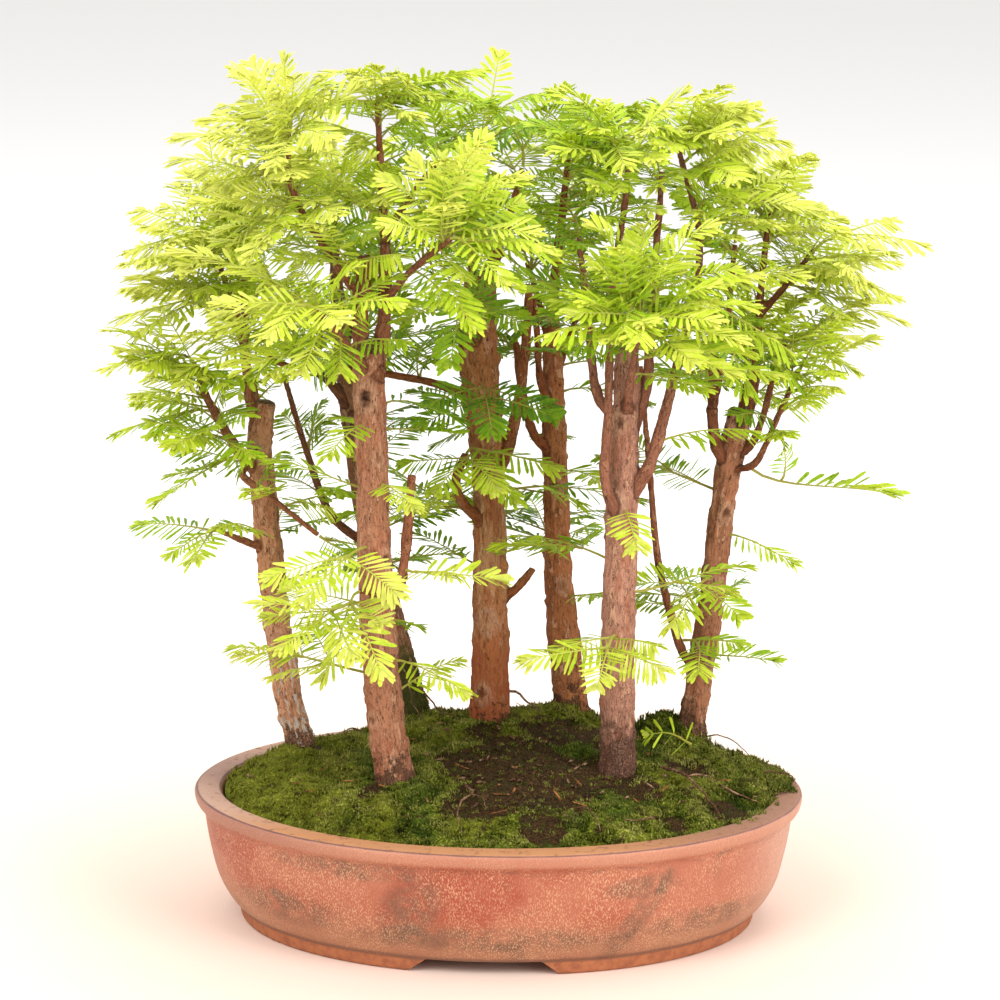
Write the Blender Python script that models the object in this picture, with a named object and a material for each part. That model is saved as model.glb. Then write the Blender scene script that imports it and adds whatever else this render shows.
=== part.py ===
"""Dawn redwood bonsai forest: seven trees on a mossed mound in a low oval tray.

The layout is in millimetres from the middle of the tray's foot ring: x to the right, y to the
back and z up from the floor. Meshes are scaled to metres as they are finished. The tray stands
a little off the origin, so that the outline of the whole forest is centred on it.
"""
import math

import bmesh
import bpy
from mathutils import Quaternion, Vector
from mathutils.bvhtree import BVHTree

METRES = 0.001
GAP = 0.35                      # running clearance between neighbouring pieces
FOREST_CENTRE = Vector((4.5, 8.0, 0.0))   # middle of the crown's outline, from the tray's middle
UP = Vector((0.0, 0.0, 1.0))
FRONT = Vector((0.0, -1.0, 0.0))

for leftover in list(bpy.data.objects):
    bpy.data.objects.remove(leftover, do_unlink=True)


# Materials and finished meshes

def material(name, colour, roughness, metallic=0.0):
    made = bpy.data.materials.new(name)
    made.use_nodes = True
    shader = made.node_tree.nodes["Principled BSDF"]
    shader.inputs["Base Color"].default_value = (*colour, 1.0)
    shader.inputs["Roughness"].default_value = roughness
    shader.inputs["Metallic"].default_value = metallic
    made.diffuse_color = (*colour, 1.0)
    return made


STONEWARE = material("stoneware", (0.42, 0.17, 0.11), 0.55)
SOIL = material("soil", (0.05, 0.03, 0.02), 0.95)
MOSS = material("moss", (0.13, 0.2, 0.03), 0.95)
BARK = material("bark", (0.33, 0.18, 0.12), 0.85)
FOLIAGE = material("foliage", (0.45, 0.65, 0.12), 0.5)
SCREEN_PLASTIC = material("screen_plastic", (0.05, 0.2, 0.1), 0.5)

forest = bpy.data.objects.new("forest", None)
forest.location = -FOREST_CENTRE * METRES
bpy.context.collection.objects.link(forest)


def loose(name, bm):
    """Makes an object in metres from a bmesh in millimetres, with its faces pointing out."""
    bmesh.ops.recalc_face_normals(bm, faces=bm.faces)
    bmesh.ops.scale(bm, vec=(METRES,) * 3, verts=bm.verts)
    mesh = bpy.data.meshes.new(name)
    bm.to_mesh(mesh)
    bm.free()
    made = bpy.data.objects.new(name, mesh)
    bpy.context.collection.objects.link(made)
    return made


def apply_modifiers(target):
    graph = bpy.context.evaluated_depsgraph_get()
    mesh = bpy.data.meshes.new_from_object(target.evaluated_get(graph))
    target.modifiers.clear()
    target.data = mesh


def fuse(target, extras, operation="UNION"):
    """Joins the extras to the target, or cuts them from it, and removes them."""
    if not extras:
        return
    group = bpy.data.collections.new(target.name + "_tools")
    for extra in extras:
        group.objects.link(extra)
    cut = target.modifiers.new("fuse", "BOOLEAN")
    cut.operation = operation
    cut.solver = "MANIFOLD"
    cut.operand_type = "COLLECTION"
    cut.collection = group
    apply_modifiers(target)
    for extra in extras:
        bpy.data.objects.remove(extra, do_unlink=True)
    bpy.data.collections.remove(group)


def finish(target, finish_material, smooth_angle=40.0):
    target.parent = forest
    target.data.materials.clear()
    target.data.materials.append(finish_material)
    target.data.shade_smooth()
    target.data.set_sharp_from_angle(angle=math.radians(smooth_angle))
    return target


# Ovals: the tray, the soil and the moss are stacks of them

OVAL_SIDES = 36


def oval_point(half_x, half_y, turn, z):
    return Vector((half_x * math.cos(turn), half_y * math.sin(turn), z))


def oval_turns():
    return [2.0 * math.pi * k / OVAL_SIDES for k in range(OVAL_SIDES)]


def stitch(bm, first, second):
    """Two triangles between each pair of neighbours of two rings with as many vertices."""
    for k in range(len(first)):
        following = (k + 1) % len(first)
        bm.faces.new((first[k], first[following], second[following]))
        bm.faces.new((first[k], second[following], second[k]))


def stack(bm, rings):
    for lower, upper in zip(rings, rings[1:]):
        stitch(bm, lower, upper)


# The tray: an oval stoneware pot with a flat rim, a lip and a low foot ring

TRAY_TOP = 65.0
FOOT_HEIGHT = 7.0
FLOOR_TOP = 15.5
TRAY_OUTSIDE = (                # half width, half depth, height, from the foot up to the rim
    (113.0, 80.0, FOOT_HEIGHT), (114.0, 81.0, 0.0), (127.0, 94.0, 0.0), (128.6, 95.2, 6.4),
    (132.6, 98.1, 11.0), (138.6, 102.6, 21.0), (143.4, 106.1, 39.0), (145.2, 107.4, 56.4),
    (149.6, 110.7, 58.4), (150.0, 111.0, 63.4), (148.6, 109.6, TRAY_TOP))
TRAY_INSIDE = (                 # the same, from the rim down to the floor
    (137.2, 98.2, TRAY_TOP), (136.0, 97.0, 63.6), (130.0, 92.0, 26.0), (124.0, 87.0, 17.5),
    (116.0, 80.0, FLOOR_TOP))
FOOT_GAP_MIDDLE = -6.0          # the two foot bands part at the front and at the back
FOOT_GAP_AT_FLOOR = 73.0
FOOT_GAP_AT_TOP = 55.0
DRAIN_PLACES = (-62.0, 62.0)
DRAIN_RADIUS = 9.0


def disc_cutter(name, x, y, radius, low, high, sides):
    bm = bmesh.new()
    rings = []
    for z in (low, high):
        turns = [2.0 * math.pi * k / sides for k in range(sides)]
        middle = Vector((x, y, 0.0))
        rings.append([bm.verts.new(middle + oval_point(radius, radius, t, z)) for t in turns])
    stack(bm, rings)
    bm.faces.new(rings[0])
    bm.faces.new(rings[1])
    return loose(name, bm)


def foot_gap_cutter():
    """A long wedge through the front and the back of the foot ring, wider at the floor."""
    bm = bmesh.new()
    low, reach = -2.0, 130.0
    slope = (FOOT_GAP_AT_FLOOR - FOOT_GAP_AT_TOP) / 2.0 / FOOT_HEIGHT
    rings = []
    for z in (low, FOOT_HEIGHT):
        half = FOOT_GAP_AT_FLOOR / 2.0 - slope * z
        corners = ((-half, -reach), (half, -reach), (half, reach), (-half, reach))
        rings.append([bm.verts.new((FOOT_GAP_MIDDLE + x, y, z)) for x, y in corners])
    stack(bm, rings)
    bm.faces.new(rings[0])
    bm.faces.new(rings[1])
    return loose("foot_gap", bm)


def make_tray():
    bm = bmesh.new()
    rings = []
    for half_x, half_y, z in TRAY_OUTSIDE + TRAY_INSIDE:
        rings.append([bm.verts.new(oval_point(half_x, half_y, t, z)) for t in oval_turns()])
    stack(bm, rings)
    bm.faces.new(rings[0])
    bm.faces.new(rings[-1])
    tray = loose("tray", bm)
    cutters = [foot_gap_cutter()]
    for x in DRAIN_PLACES:
        low, high = FOOT_HEIGHT - 4.0, FLOOR_TOP + 4.0
        cutters.append(disc_cutter("drain", x, 0.0, DRAIN_RADIUS, low, high, 12))
    fuse(tray, cutters, "DIFFERENCE")
    return finish(tray, STONEWARE)


# Drain screens: two squares of plastic mesh on the tray's floor, over the holes

SCREEN_SIDE = 29.0
SCREEN_THICKNESS = 1.2
SCREEN_BAR = 2.0
SCREEN_WINDOWS = 3


def box(name, x, y, z, size_x, size_y, size_z):
    bm = bmesh.new()
    bmesh.ops.create_cube(bm, size=1.0)
    bmesh.ops.scale(bm, vec=(size_x, size_y, size_z), verts=bm.verts)
    bmesh.ops.translate(bm, vec=(x, y, z), verts=bm.verts)
    return loose(name, bm)


def make_screen(number, x):
    z = FLOOR_TOP + GAP + SCREEN_THICKNESS / 2.0
    screen = box(f"drain_screen_{number}", x, 0.0, z, SCREEN_SIDE, SCREEN_SIDE, SCREEN_THICKNESS)
    pitch = (SCREEN_SIDE - SCREEN_BAR) / SCREEN_WINDOWS
    window = pitch - SCREEN_BAR
    windows = []
    for row in range(SCREEN_WINDOWS):
        for column in range(SCREEN_WINDOWS):
            across = (column - (SCREEN_WINDOWS - 1) / 2.0) * pitch
            along = (row - (SCREEN_WINDOWS - 1) / 2.0) * pitch
            windows.append(box("window", x + across, along, z, window, window, 6.0))
    fuse(screen, windows, "DIFFERENCE")
    return finish(screen, SCREEN_PLASTIC)


# The mound: one grid in plan, shared by the soil and by the moss carpet that lies on it

SOIL_OUTSIDE = (                # half width, half depth, height, fitting inside the tray
    (115.5, 79.5, FLOOR_TOP + GAP), (123.4, 86.4, 18.0), (129.4, 91.4, 26.2))
WALL_X, WALL_Y = 135.2, 96.2    # where the mound meets the tray's inner wall
MOUND_FOOT = 62.0
MOUND_RISE = 20.0
MOSS_THICKNESS = 3.2
MOUND_BUMPS = (                 # x, y, rise, spread in x, spread in y
    (10.0, 50.0, 10.0, 38.0, 30.0), (34.0, 70.0, 8.0, 17.0, 14.0), (-43.0, 66.0, 7.0, 16.0, 14.0),
    (88.0, 46.0, 13.0, 15.0, 15.0), (-100.0, 40.0, 4.0, 20.0, 20.0),
    (-50.0, -38.0, 3.5, 16.0, 16.0))
BARE_MIDDLE = Vector((16.0, -30.0, 0.0))     # the patch of soil with no moss on it
BARE_HALF_X, BARE_HALF_Y = 36.0, 30.0
CARPET_STEPS = (0.0, 0.27, 0.54, 0.8, 1.0)


def mound(x, y):
    """Height of the moss over the floor."""
    inside = max(0.0, 1.0 - (x / WALL_X) ** 2 - (y / WALL_Y) ** 2)
    height = MOUND_FOOT + MOUND_RISE * inside ** 0.75
    for bump_x, bump_y, rise, spread_x, spread_y in MOUND_BUMPS:
        away = ((x - bump_x) / spread_x) ** 2 + ((y - bump_y) / spread_y) ** 2
        height += rise * math.exp(-away / 2.0) * min(1.0, inside * 4.0)
    cushions = math.sin(x / 7.0) * math.sin(y / 6.0 + x / 19.0)
    return height + 0.9 * cushions * min(1.0, inside * 5.0)


def bare_edge(turn):
    wave = 1.0 + 0.14 * math.sin(3.0 * turn + 1.0) + 0.08 * math.sin(5.0 * turn)
    return BARE_MIDDLE + oval_point(BARE_HALF_X * wave, BARE_HALF_Y * wave, turn, 0.0)


def carpet_rings(bm, lift, steps=CARPET_STEPS, shrink=0.0):
    """Rings from the bare patch out to the tray's wall, on the mound's height plus lift."""
    rings = []
    for step in steps:
        ring = []
        for turn in oval_turns():
            wall = oval_point(WALL_X - shrink, WALL_Y - shrink, turn, 0.0)
            place = bare_edge(turn).lerp(wall, step)
            place.z = mound(place.x, place.y) + lift
            ring.append(bm.verts.new(place))
        rings.append(ring)
    return rings


def make_soil(trunk_cutters, screen_cutters):
    bm = bmesh.new()
    rings = []
    for half_x, half_y, z in SOIL_OUTSIDE:
        rings.append([bm.verts.new(oval_point(half_x, half_y, t, z)) for t in oval_turns()])
    top = carpet_rings(bm, -MOSS_THICKNESS)
    middle_ring = []
    for edge in top[0]:
        place = BARE_MIDDLE.lerp(edge.co, 0.5)
        place.z = mound(place.x, place.y) - 1.4
        middle_ring.append(bm.verts.new(place))
    peak = bm.verts.new((*BARE_MIDDLE.xy, mound(*BARE_MIDDLE.xy) - 1.0))
    stack(bm, rings)
    stitch(bm, rings[-1], top[-1])
    stack(bm, list(reversed(top)) + [middle_ring])
    bm.faces.new(rings[0])
    for k in range(OVAL_SIDES):
        bm.faces.new((middle_ring[k], middle_ring[(k + 1) % OVAL_SIDES], peak))
    soil = loose("soil", bm)
    fuse(soil, trunk_cutters + screen_cutters, "DIFFERENCE")
    return finish(soil, SOIL)


def make_moss(trunk_cutters):
    bm = bmesh.new()
    over = carpet_rings(bm, 0.0)
    under = carpet_rings(bm, GAP - MOSS_THICKNESS)
    stack(bm, list(reversed(over)))
    stack(bm, list(reversed(under)))
    stitch(bm, under[0], over[0])
    stitch(bm, under[-1], over[-1])
    moss = loose("moss", bm)
    fuse(moss, trunk_cutters, "DIFFERENCE")
    return finish(moss, MOSS)


# Smooth lines through hand-set points, and the tubes that follow them

def curve_through(points, spacing):
    """Points about spacing apart on a smooth curve through the points given."""
    line = [Vector(p) for p in points]
    ends = [line[0] * 2.0 - line[1]] + line + [line[-1] * 2.0 - line[-2]]
    smooth = []
    for k in range(1, len(ends) - 2):
        before, here, there, after = ends[k - 1:k + 3]
        steps = max(1, round((there - here).length / spacing))
        for step in range(steps):
            t = step / steps
            bend = (2.0 * before - 5.0 * here + 4.0 * there - after) * t * t
            twist = (3.0 * here - before - 3.0 * there + after) * t * t * t
            smooth.append(0.5 * (2.0 * here + (there - before) * t + bend + twist))
    smooth.append(line[-1].copy())
    return smooth


def tube_bmesh(line, radii, sides):
    """A closed tube of so many sides round a line, with flat ends."""
    bm = bmesh.new()
    across = None
    rings = []
    for k, point in enumerate(line):
        ahead = (line[min(k + 1, len(line) - 1)] - line[max(k - 1, 0)]).normalized()
        if across is None:
            across = ahead.cross(FRONT).normalized()
        across = (across - ahead * across.dot(ahead)).normalized()
        over = ahead.cross(across)
        ring = []
        for side in range(sides):
            turn = 2.0 * math.pi * (side + 0.5) / sides
            offset = across * math.cos(turn) + over * math.sin(turn)
            ring.append(bm.verts.new(point + offset * radii[k]))
        rings.append(ring)
    stack(bm, rings)
    bm.faces.new(rings[0])
    bm.faces.new(rings[-1])
    bmesh.ops.recalc_face_normals(bm, faces=bm.faces)
    return bm


# The trees. Each trunk is x, y, z and radius up from under the soil. Each limb is its points
# from inside what it grows on, then its radius there and at its end.

TRUNKS = {
    1: ((-98, 40, 65, 8.6), (-100, 40, 75, 7.2), (-106, 40, 98, 6.8), (-113, 38, 150, 6.4),
        (-118, 38, 200, 6.2), (-120, 38, 230, 6.0), (-117, 38, 250, 5.2)),
    2: ((-49, -36, 70, 10.6), (-51, -36, 82, 9.2), (-56, -36, 118, 9.0), (-60, -36, 172, 8.2),
        (-62, -36, 232, 7.5), (-64, -36, 274, 7.8), (-64, -36, 291, 7.0)),
    3: ((-41, 65, 76, 8.6), (-44, 65, 90, 6.8), (-52, 64, 122, 5.8), (-66, 62, 176, 5.2),
        (-76, 62, 235, 4.9), (-81, 62, 276, 4.0), (-84, 62, 310, 2.9), (-85, 62, 344, 1.4)),
    4: ((-5, 42, 77, 11.4), (-5, 42, 88, 9.9), (-5, 42, 126, 9.1), (-6, 42, 185, 8.1),
        (-7, 42, 218, 7.8), (-10, 42, 246, 8.9), (-13, 42, 280, 9.3), (-12, 42, 315, 7.6)),
    5: ((38, 68, 79, 9.8), (36, 68, 91, 8.4), (32, 68, 124, 7.8), (28, 68, 171, 6.4),
        (26, 68, 225, 5.9), (24, 68, 269, 5.1), (23, 68, 292, 3.8)),
    6: ((58, -13, 70, 10.6), (58, -13, 82, 9.0), (57, -13, 136, 8.3), (58, -13, 197, 7.8),
        (58, -13, 232, 7.2), (59, -13, 270, 5.9), (59, -13, 290, 5.3)),
    7: ((94, 42, 73, 8.6), (97, 42, 88, 6.8), (100, 42, 112, 6.4), (105, 42, 148, 6.2),
        (109, 42, 196, 6.0), (113, 42, 224, 6.4), (117, 42, 248, 5.6)),
}
LIMBS = {
    "1_snag": (1, ((-121, 38, 215), (-129, 34, 223), (-145, 26, 253), (-150, 22, 270)), 3.4, 1.6),
    "1_leader": (1, ((-121, 38, 232), (-126, 33, 260), (-127, 34, 291), (-128, 36, 311)), 3.0, 1.5),
    "1_high": (1, ((-126, 33, 279), (-133, 27, 302), (-142, 20, 330)), 2.1, 1.2),
    "1_cross": (1, ((-120, 38, 221), (-128, 25, 216), (-116, 20, 207), (-90, 18, 187)), 2.1, 1.2),
    "1_low": (1, ((-116, 38, 174), (-127, 28, 181), (-138, 22, 187)), 2.3, 1.4),
    "1_back": (1, ((-120, 40, 228), (-123, 58, 246), (-135, 92, 277)), 2.6, 1.2),
    "2_snag": (2, ((-65, -36, 282), (-68, -37, 300), (-66, -38, 336)), 4.4, 3.4),
    "2_leader": (2, ((-62, -36, 280), (-57, -34, 304), (-57, -34, 345), (-61, -34, 409)), 4.8, 1.2),
    "2_stub": (2, ((-58, -37, 163), (-48, -38, 179), (-43, -38, 231)), 3.0, 2.0),
    "2_front": (2, ((-65, -38, 279), (-71, -54, 294), (-87, -88, 320)), 2.4, 1.2),
    "2_left": (2, ((-67, -38, 314), (-84, -50, 341), (-99, -58, 370), (-101, -58, 398)), 2.3, 1.2),
    "2_right": (2, ((-57, -34, 314), (-43, -60, 334), (-25, -92, 354)), 2.2, 1.2),
    "2_inner": (2, ((-57, -34, 344), (-46, -14, 360), (-29, 8, 380)), 2.0, 1.2),
    "2_low": (2, ((-58, -38, 166), (-62, -50, 176), (-67, -60, 179)), 2.0, 1.3),
    "3_left": (3, ((-76, 62, 240), (-86, 55, 256), (-96, 50, 265), (-102, 46, 279)), 3.2, 1.5),
    "3_thin": (3, ((-66, 62, 170), (-86, 56, 189), (-98, 54, 222), (-109, 52, 260)), 2.3, 1.3),
    "3_back": (3, ((-76, 64, 229), (-77, 84, 249), (-80, 104, 268)), 2.6, 1.3),
    "3_rear": (3, ((-81, 62, 270), (-73, 80, 287), (-65, 98, 304)), 2.3, 1.2),
    "4_right": (4, ((-7, 42, 206), (2, 40, 226), (8, 40, 255), (11, 42, 285), (12, 44, 309)),
                3.8, 1.9),
    "4_sweep": (4, ((-14, 42, 250), (-36, 40, 260), (-81, 28, 269), (-106, 18, 272),
                    (-121, 14, 282)), 2.5, 1.2),
    "4_stub": (4, ((-7, 40, 186), (-20, 32, 202), (-23, 31, 213), (-18, 31, 226)), 3.0, 2.0),
    "4_knob": (4, ((-3, 42, 147), (8, 40, 156), (16, 40, 166)), 3.2, 1.7),
    "4_leader": (4, ((-13, 41, 303), (-18, 33, 336), (-15, 30, 366), (-12, 29, 384)), 3.2, 1.3),
    "4_second": (4, ((-10, 44, 303), (0, 55, 335), (8, 62, 364)), 3.0, 1.3),
    "4_front": (4, ((-13, 38, 279), (-16, 14, 297), (-19, -8, 312)), 2.5, 1.3),
    "4_rear": (4, ((-12, 46, 288), (-9, 74, 303), (-7, 98, 316)), 2.5, 1.3),
    "5_left": (5, ((26, 67, 217), (15, 61, 231), (8, 60, 258), (6, 62, 277)), 2.8, 1.5),
    "5_hug": (5, ((25, 66, 237), (18, 57, 260), (16, 56, 284), (14, 58, 300)), 2.5, 1.4),
    "5_leader": (5, ((23, 68, 282), (25, 70, 309), (30, 74, 360), (32, 74, 381)), 3.6, 1.2),
    "5_rear": (5, ((25, 69, 252), (31, 88, 270), (39, 106, 287)), 2.5, 1.3),
    "5_rear2": (5, ((23, 70, 274), (17, 94, 292), (11, 114, 308)), 2.3, 1.2),
    "6_front": (6, ((57, -14, 203), (49, -26, 228), (50, -26, 262), (51, -24, 320), (56, -26, 360),
                    (57, -26, 383)), 3.0, 1.3),
    "6_left": (6, ((57, -13, 250), (45, -11, 266), (40, -8, 300), (35, -8, 342)), 2.8, 1.4),
    "6_right": (6, ((59, -13, 240), (68, -12, 266), (70, -12, 303), (74, -8, 374)), 3.2, 1.4),
    "6_fork": (6, ((59, -13, 213), (71, -18, 234), (80, -16, 269), (93, -10, 321)), 3.8, 1.9),
    "6_fork_top": (6, ((92, -10, 316), (92, -12, 345), (85, -16, 372), (80, -18, 390)), 2.1, 1.2),
    "6_fwd": (6, ((59, -16, 259), (60, -38, 279), (63, -78, 314)), 2.4, 1.2),
    "6_back": (6, ((59, -11, 265), (63, 14, 283), (67, 34, 299)), 2.4, 1.2),
    "7_snag": (7, ((113, 42, 217), (105, 37, 232), (102, 36, 261), (102, 36, 278)), 3.2, 2.4),
    "7_inner": (7, ((103, 36, 252), (108, 34, 280), (112, 34, 332)), 2.3, 1.2),
    "7_right": (7, ((116, 42, 234), (123, 40, 256), (125, 40, 301), (129, 44, 347)), 3.2, 1.3),
    "7_thin": (7, ((113, 42, 221), (125, 36, 236), (134, 36, 273), (138, 36, 283)), 2.2, 1.3),
    "7_green": (7, ((113, 41, 217), (125, 31, 224), (135, 26, 249), (144, 22, 272)), 2.0, 1.2),
    "7_low": (7, ((101, 42, 113), (90, 33, 128), (78, 28, 172), (73, 30, 214), (67, 36, 271)),
              2.5, 1.2),
    "7_back": (7, ((116, 44, 233), (120, 66, 249), (125, 86, 264)), 2.5, 1.2),
    "7_reach": (7, ((125, 40, 296), (137, 36, 311), (150, 30, 330)), 1.9, 1.2),
}
TRUNK_SIDES = 8
TRUNK_SPACING = 30.0
LIMB_SPACING = 27.0
STOUT_LIMB = 2.6                # a limb thicker than this has a side more


def trunk_line(tree):
    """The smooth line of a trunk and its radii."""
    places = curve_through(TRUNKS[tree], TRUNK_SPACING)
    return [place.xyz for place in places], [place.w for place in places]


def limb_line(name):
    _, points, root_radius, end_radius = LIMBS[name]
    line = curve_through(points, LIMB_SPACING)
    last = len(line) - 1
    return line, [root_radius + (end_radius - root_radius) * k / last for k in range(last + 1)]


def limb_sides(name):
    return 5 if LIMBS[name][2] > STOUT_LIMB else 4


def make_wood(tree):
    line, radii = trunk_line(tree)
    wood = loose(f"tree_{tree}_wood", tube_bmesh(line, radii, TRUNK_SIDES))
    limbs = []
    for name in LIMBS:
        if LIMBS[name][0] == tree:
            line, radii = limb_line(name)
            limbs.append(loose(name, tube_bmesh(line, radii, limb_sides(name))))
    fuse(wood, limbs)
    return finish(wood, BARK, 50.0)


def trunk_hole(tree):
    """The trunk's foot, a little fatter and deeper, as the cutter for its hole."""
    line, radii = trunk_line(tree)
    line[0] = line[0] - (line[1] - line[0]).normalized() * GAP
    wider = [radius + GAP * 1.1 for radius in radii[:4]]
    return loose(f"hole_{tree}", tube_bmesh(line[:4], wider, TRUNK_SIDES))


# Leafy stems. Each leaves a limb at a share of its length and bends over to its tips, with
# flat fronds of needles at the end and beside it.

LEAFY_STEMS = (                 # limb, share of its length, tips, side fronds
    ("1_snag", 1.0, ((-196, 6, 271),), 1),
    ("1_snag", 0.62, ((-181, 52, 250), (-171, 2, 238)), 1),
    ("1_snag", 0.2, ((-168, 44, 209),), 1),
    ("1_high", 1.0, ((-184, 6, 329),), 2),
    ("1_high", 0.55, ((-192, 40, 290),), 1),
    ("1_leader", 1.0, ((-164, 40, 358),), 2),
    ("1_leader", 0.7, ((-97, -8, 274),), 1),
    ("1_low", 1.0, ((-165, 6, 178),), 2),
    ("1_cross", 1.0, ((-73, 14, 178),), 1),
    ("1_back", 1.0, ((-171, 120, 290),), 2),
    ("2_leader", 1.0, ((-19, -40, 420), (-88, -52, 423)), 0),
    ("2_leader", 0.6, ((-94, -90, 389),), 2),
    ("2_left", 1.0, ((-103, -60, 434),), 2),
    ("2_left", 0.55, ((-139, -70, 360),), 2),
    ("2_right", 1.0, ((3, -118, 337),), 1),
    ("2_right", 0.55, ((-7, -96, 370),), 2),
    ("2_front", 1.0, ((-109, -128, 313),), 2),
    ("2_low", 1.0, ((-87, -74, 137), (-117, -84, 178)), 1),
    ("2_stub", 0.35, ((-21, -70, 190),), 1),
    ("2_snag", 0.9, ((-107, -92, 361),), 2),
    ("3_left", 1.0, ((-127, 70, 294),), 0),
    ("3_back", 1.0, ((-106, 140, 287),), 2),
    ("3_rear", 1.0, ((-44, 135, 335),), 2),
    ("4_leader", 1.0, ((20, 14, 407),), 1),
    ("4_second", 1.0, ((-22, 80, 398),), 1),
    ("4_front", 1.0, ((-26, -62, 286),), 2),
    ("4_rear", 1.0, ((-19, 140, 345),), 2),
    ("4_stub", 0.55, ((-72, 0, 231),), 1),
    ("4_stub", 1.0, ((13, 4, 208),), 1),
    ("5_leader", 1.0, ((60, 58, 398),), 0),
    ("5_leader", 0.45, ((67, 100, 342),), 1),
    ("5_rear", 1.0, ((64, 140, 310),), 2),
    ("5_rear2", 1.0, ((7, 150, 334),), 1),
    ("5_left", 0.5, ((-12, 90, 225),), 1),
    ("6_front", 1.0, ((32, -46, 411),), 2),
    ("6_front", 0.62, ((21, -80, 348),), 2),
    ("6_left", 1.0, ((6, -40, 373),), 2),
    ("6_fork_top", 1.0, ((112, -32, 402),), 2),
    ("6_fork", 0.95, ((118, -50, 273),), 1),
    ("6_fwd", 1.0, ((60, -128, 313),), 2),
    ("7_reach", 1.0, ((205, 16, 336),), 1),
    ("7_right", 1.0, ((149, 40, 377),), 2),
    ("7_right", 0.7, ((195, 20, 294),), 2),
    ("7_inner", 1.0, ((114, 20, 387),), 2),
    ("7_thin", 1.0, ((175, 24, 270),), 0),
    ("7_green", 0.15, ((196, 20, 210),), 0),
    ("7_low", 0.15, ((120, 10, 142), (97, -6, 124)), 0),
    ("7_back", 1.0, ((151, 130, 287),), 2),
)
FROND_LENGTH = 54.0
SIDE_FROND_LENGTH = 46.0
SIDE_FROND_ANGLE = math.radians(52.0)
NEEDLE_REACH = 10.5             # how far needles stand out beside the rib
NEEDLE_LENGTH = 12.0
PAIR_SPACING = 5.8              # the needles' roots meet: the frond is cut to its rib
STEM_SPACING = 18.0
SIDE_FROND_STAGGER = 1.7
SIDE_FROND_SEAT = 1.0           # on a short stem it springs this far before the needles
SIDE_FROND_BARE = 6.0
SIDE_FROND_DROOP = 5.0
FACE_TILT = 0.45                # how far a frond's face turns outwards from level
TERMINAL_NEEDLE = 8.0
ROOM = 1.5                      # a frond keeps this much air over and under it
STEM_ROOM, TIP_ROOM = 1.3, 2.0  # and this much beside its stem and its tip
OWN_LIMB_ROOM = 5.0             # the stretch of stem that may lie along its own limb
OWN_STEM_ROOM = 2.5
TURNS = (0, 9, -9, 18, -18, 28, -28, 40, -40)
SWINGS = sorted(((turn, lift) for turn in TURNS for lift in TURNS),
                key=lambda swing: swing[0] ** 2 + swing[1] ** 2)


class Frond:
    """A leafy stem's line, where its needles begin, and which way its flat side faces."""

    def __init__(self, line, bare, facing):
        self.line = line
        self.bare = bare
        self.facing = facing
        self.marks = [0.0]
        for here, there in zip(line, line[1:]):
            self.marks.append(self.marks[-1] + (there - here).length)
        self.length = self.marks[-1]
        steps = max(1, round(bare / STEM_SPACING))
        self.stem_marks = [bare * k / steps for k in range(steps + 1)]

    def at(self, distance):
        """The point so far along, with the directions ahead, to its side and up off its face."""
        distance = min(max(distance, 0.0), self.length)
        k = 0
        while k < len(self.marks) - 2 and self.marks[k + 1] < distance:
            k += 1
        share = (distance - self.marks[k]) / (self.marks[k + 1] - self.marks[k])
        point = self.line[k].lerp(self.line[k + 1], share)
        before = self.line[k + 1] - self.line[max(k - 1, 0)]
        after = self.line[min(k + 2, len(self.line) - 1)] - self.line[k]
        ahead = before.normalized().lerp(after.normalized(), share).normalized()
        side = ahead.cross(self.facing).normalized()
        return point, ahead, side, side.cross(ahead)

    def envelope(self, skip):
        """A thin closed strip as wide as the needles reach, from skip onwards."""
        stations = [(skip, STEM_ROOM), (max(self.bare - 5.0, skip + 1.0), STEM_ROOM),
                    (max(self.bare, skip + 2.0), NEEDLE_REACH)]
        rib_end = self.length - TERMINAL_NEEDLE
        for share in (0.35, 0.7, 1.0):
            stations.append((stations[2][0] + (rib_end - stations[2][0]) * share, NEEDLE_REACH))
        stations.append((self.length, TIP_ROOM))
        bm = bmesh.new()
        rings = []
        for distance, half in stations:
            point, _, side, up = self.at(distance)
            corners = ((-half, -ROOM), (half, -ROOM), (half, ROOM), (-half, ROOM))
            rings.append([bm.verts.new(point + side * a + up * b) for a, b in corners])
        stack(bm, rings)
        bm.faces.new(rings[0])
        bm.faces.new(rings[-1])
        tree = BVHTree.FromBMesh(bm)
        bm.free()
        return tree


def outward(point, tree):
    trunk_x, trunk_y = TRUNKS[tree][3][:2]
    away = Vector((point.x - trunk_x, point.y - trunk_y, 0.0))
    if away.length < 8.0:
        away = FRONT.copy()
    return away.normalized()


def bent_line(root, leaving, tip):
    """A stem's line that leaves as told, arches over and comes down a little to its tip."""
    chord = tip - root
    reach = chord.length
    level = Vector((chord.x, chord.y, 0.0))
    arriving = chord.normalized()
    if level.length > 0.3 * reach:
        arriving = (level.normalized() - UP * 0.3 + arriving * 0.6).normalized()
    first = root + leaving * reach * 0.3
    second = tip - arriving * reach * 0.35
    line = []
    for k in range(9):
        t = k / 8.0
        u = 1.0 - t
        line.append(root * u ** 3 + first * 3 * u * u * t + second * 3 * u * t * t + tip * t ** 3)
    return line


def swung(chord, turn, lift):
    """The chord turned about the upright and lifted from the level, in degrees."""
    turned = chord.copy()
    turned.rotate(Quaternion(UP, math.radians(turn)))
    hinge = turned.cross(UP)
    if hinge.length < 1.0:
        hinge = Vector((1.0, 0.0, 0.0))
    turned.rotate(Quaternion(hinge.normalized(), math.radians(lift)))
    return turned


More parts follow.
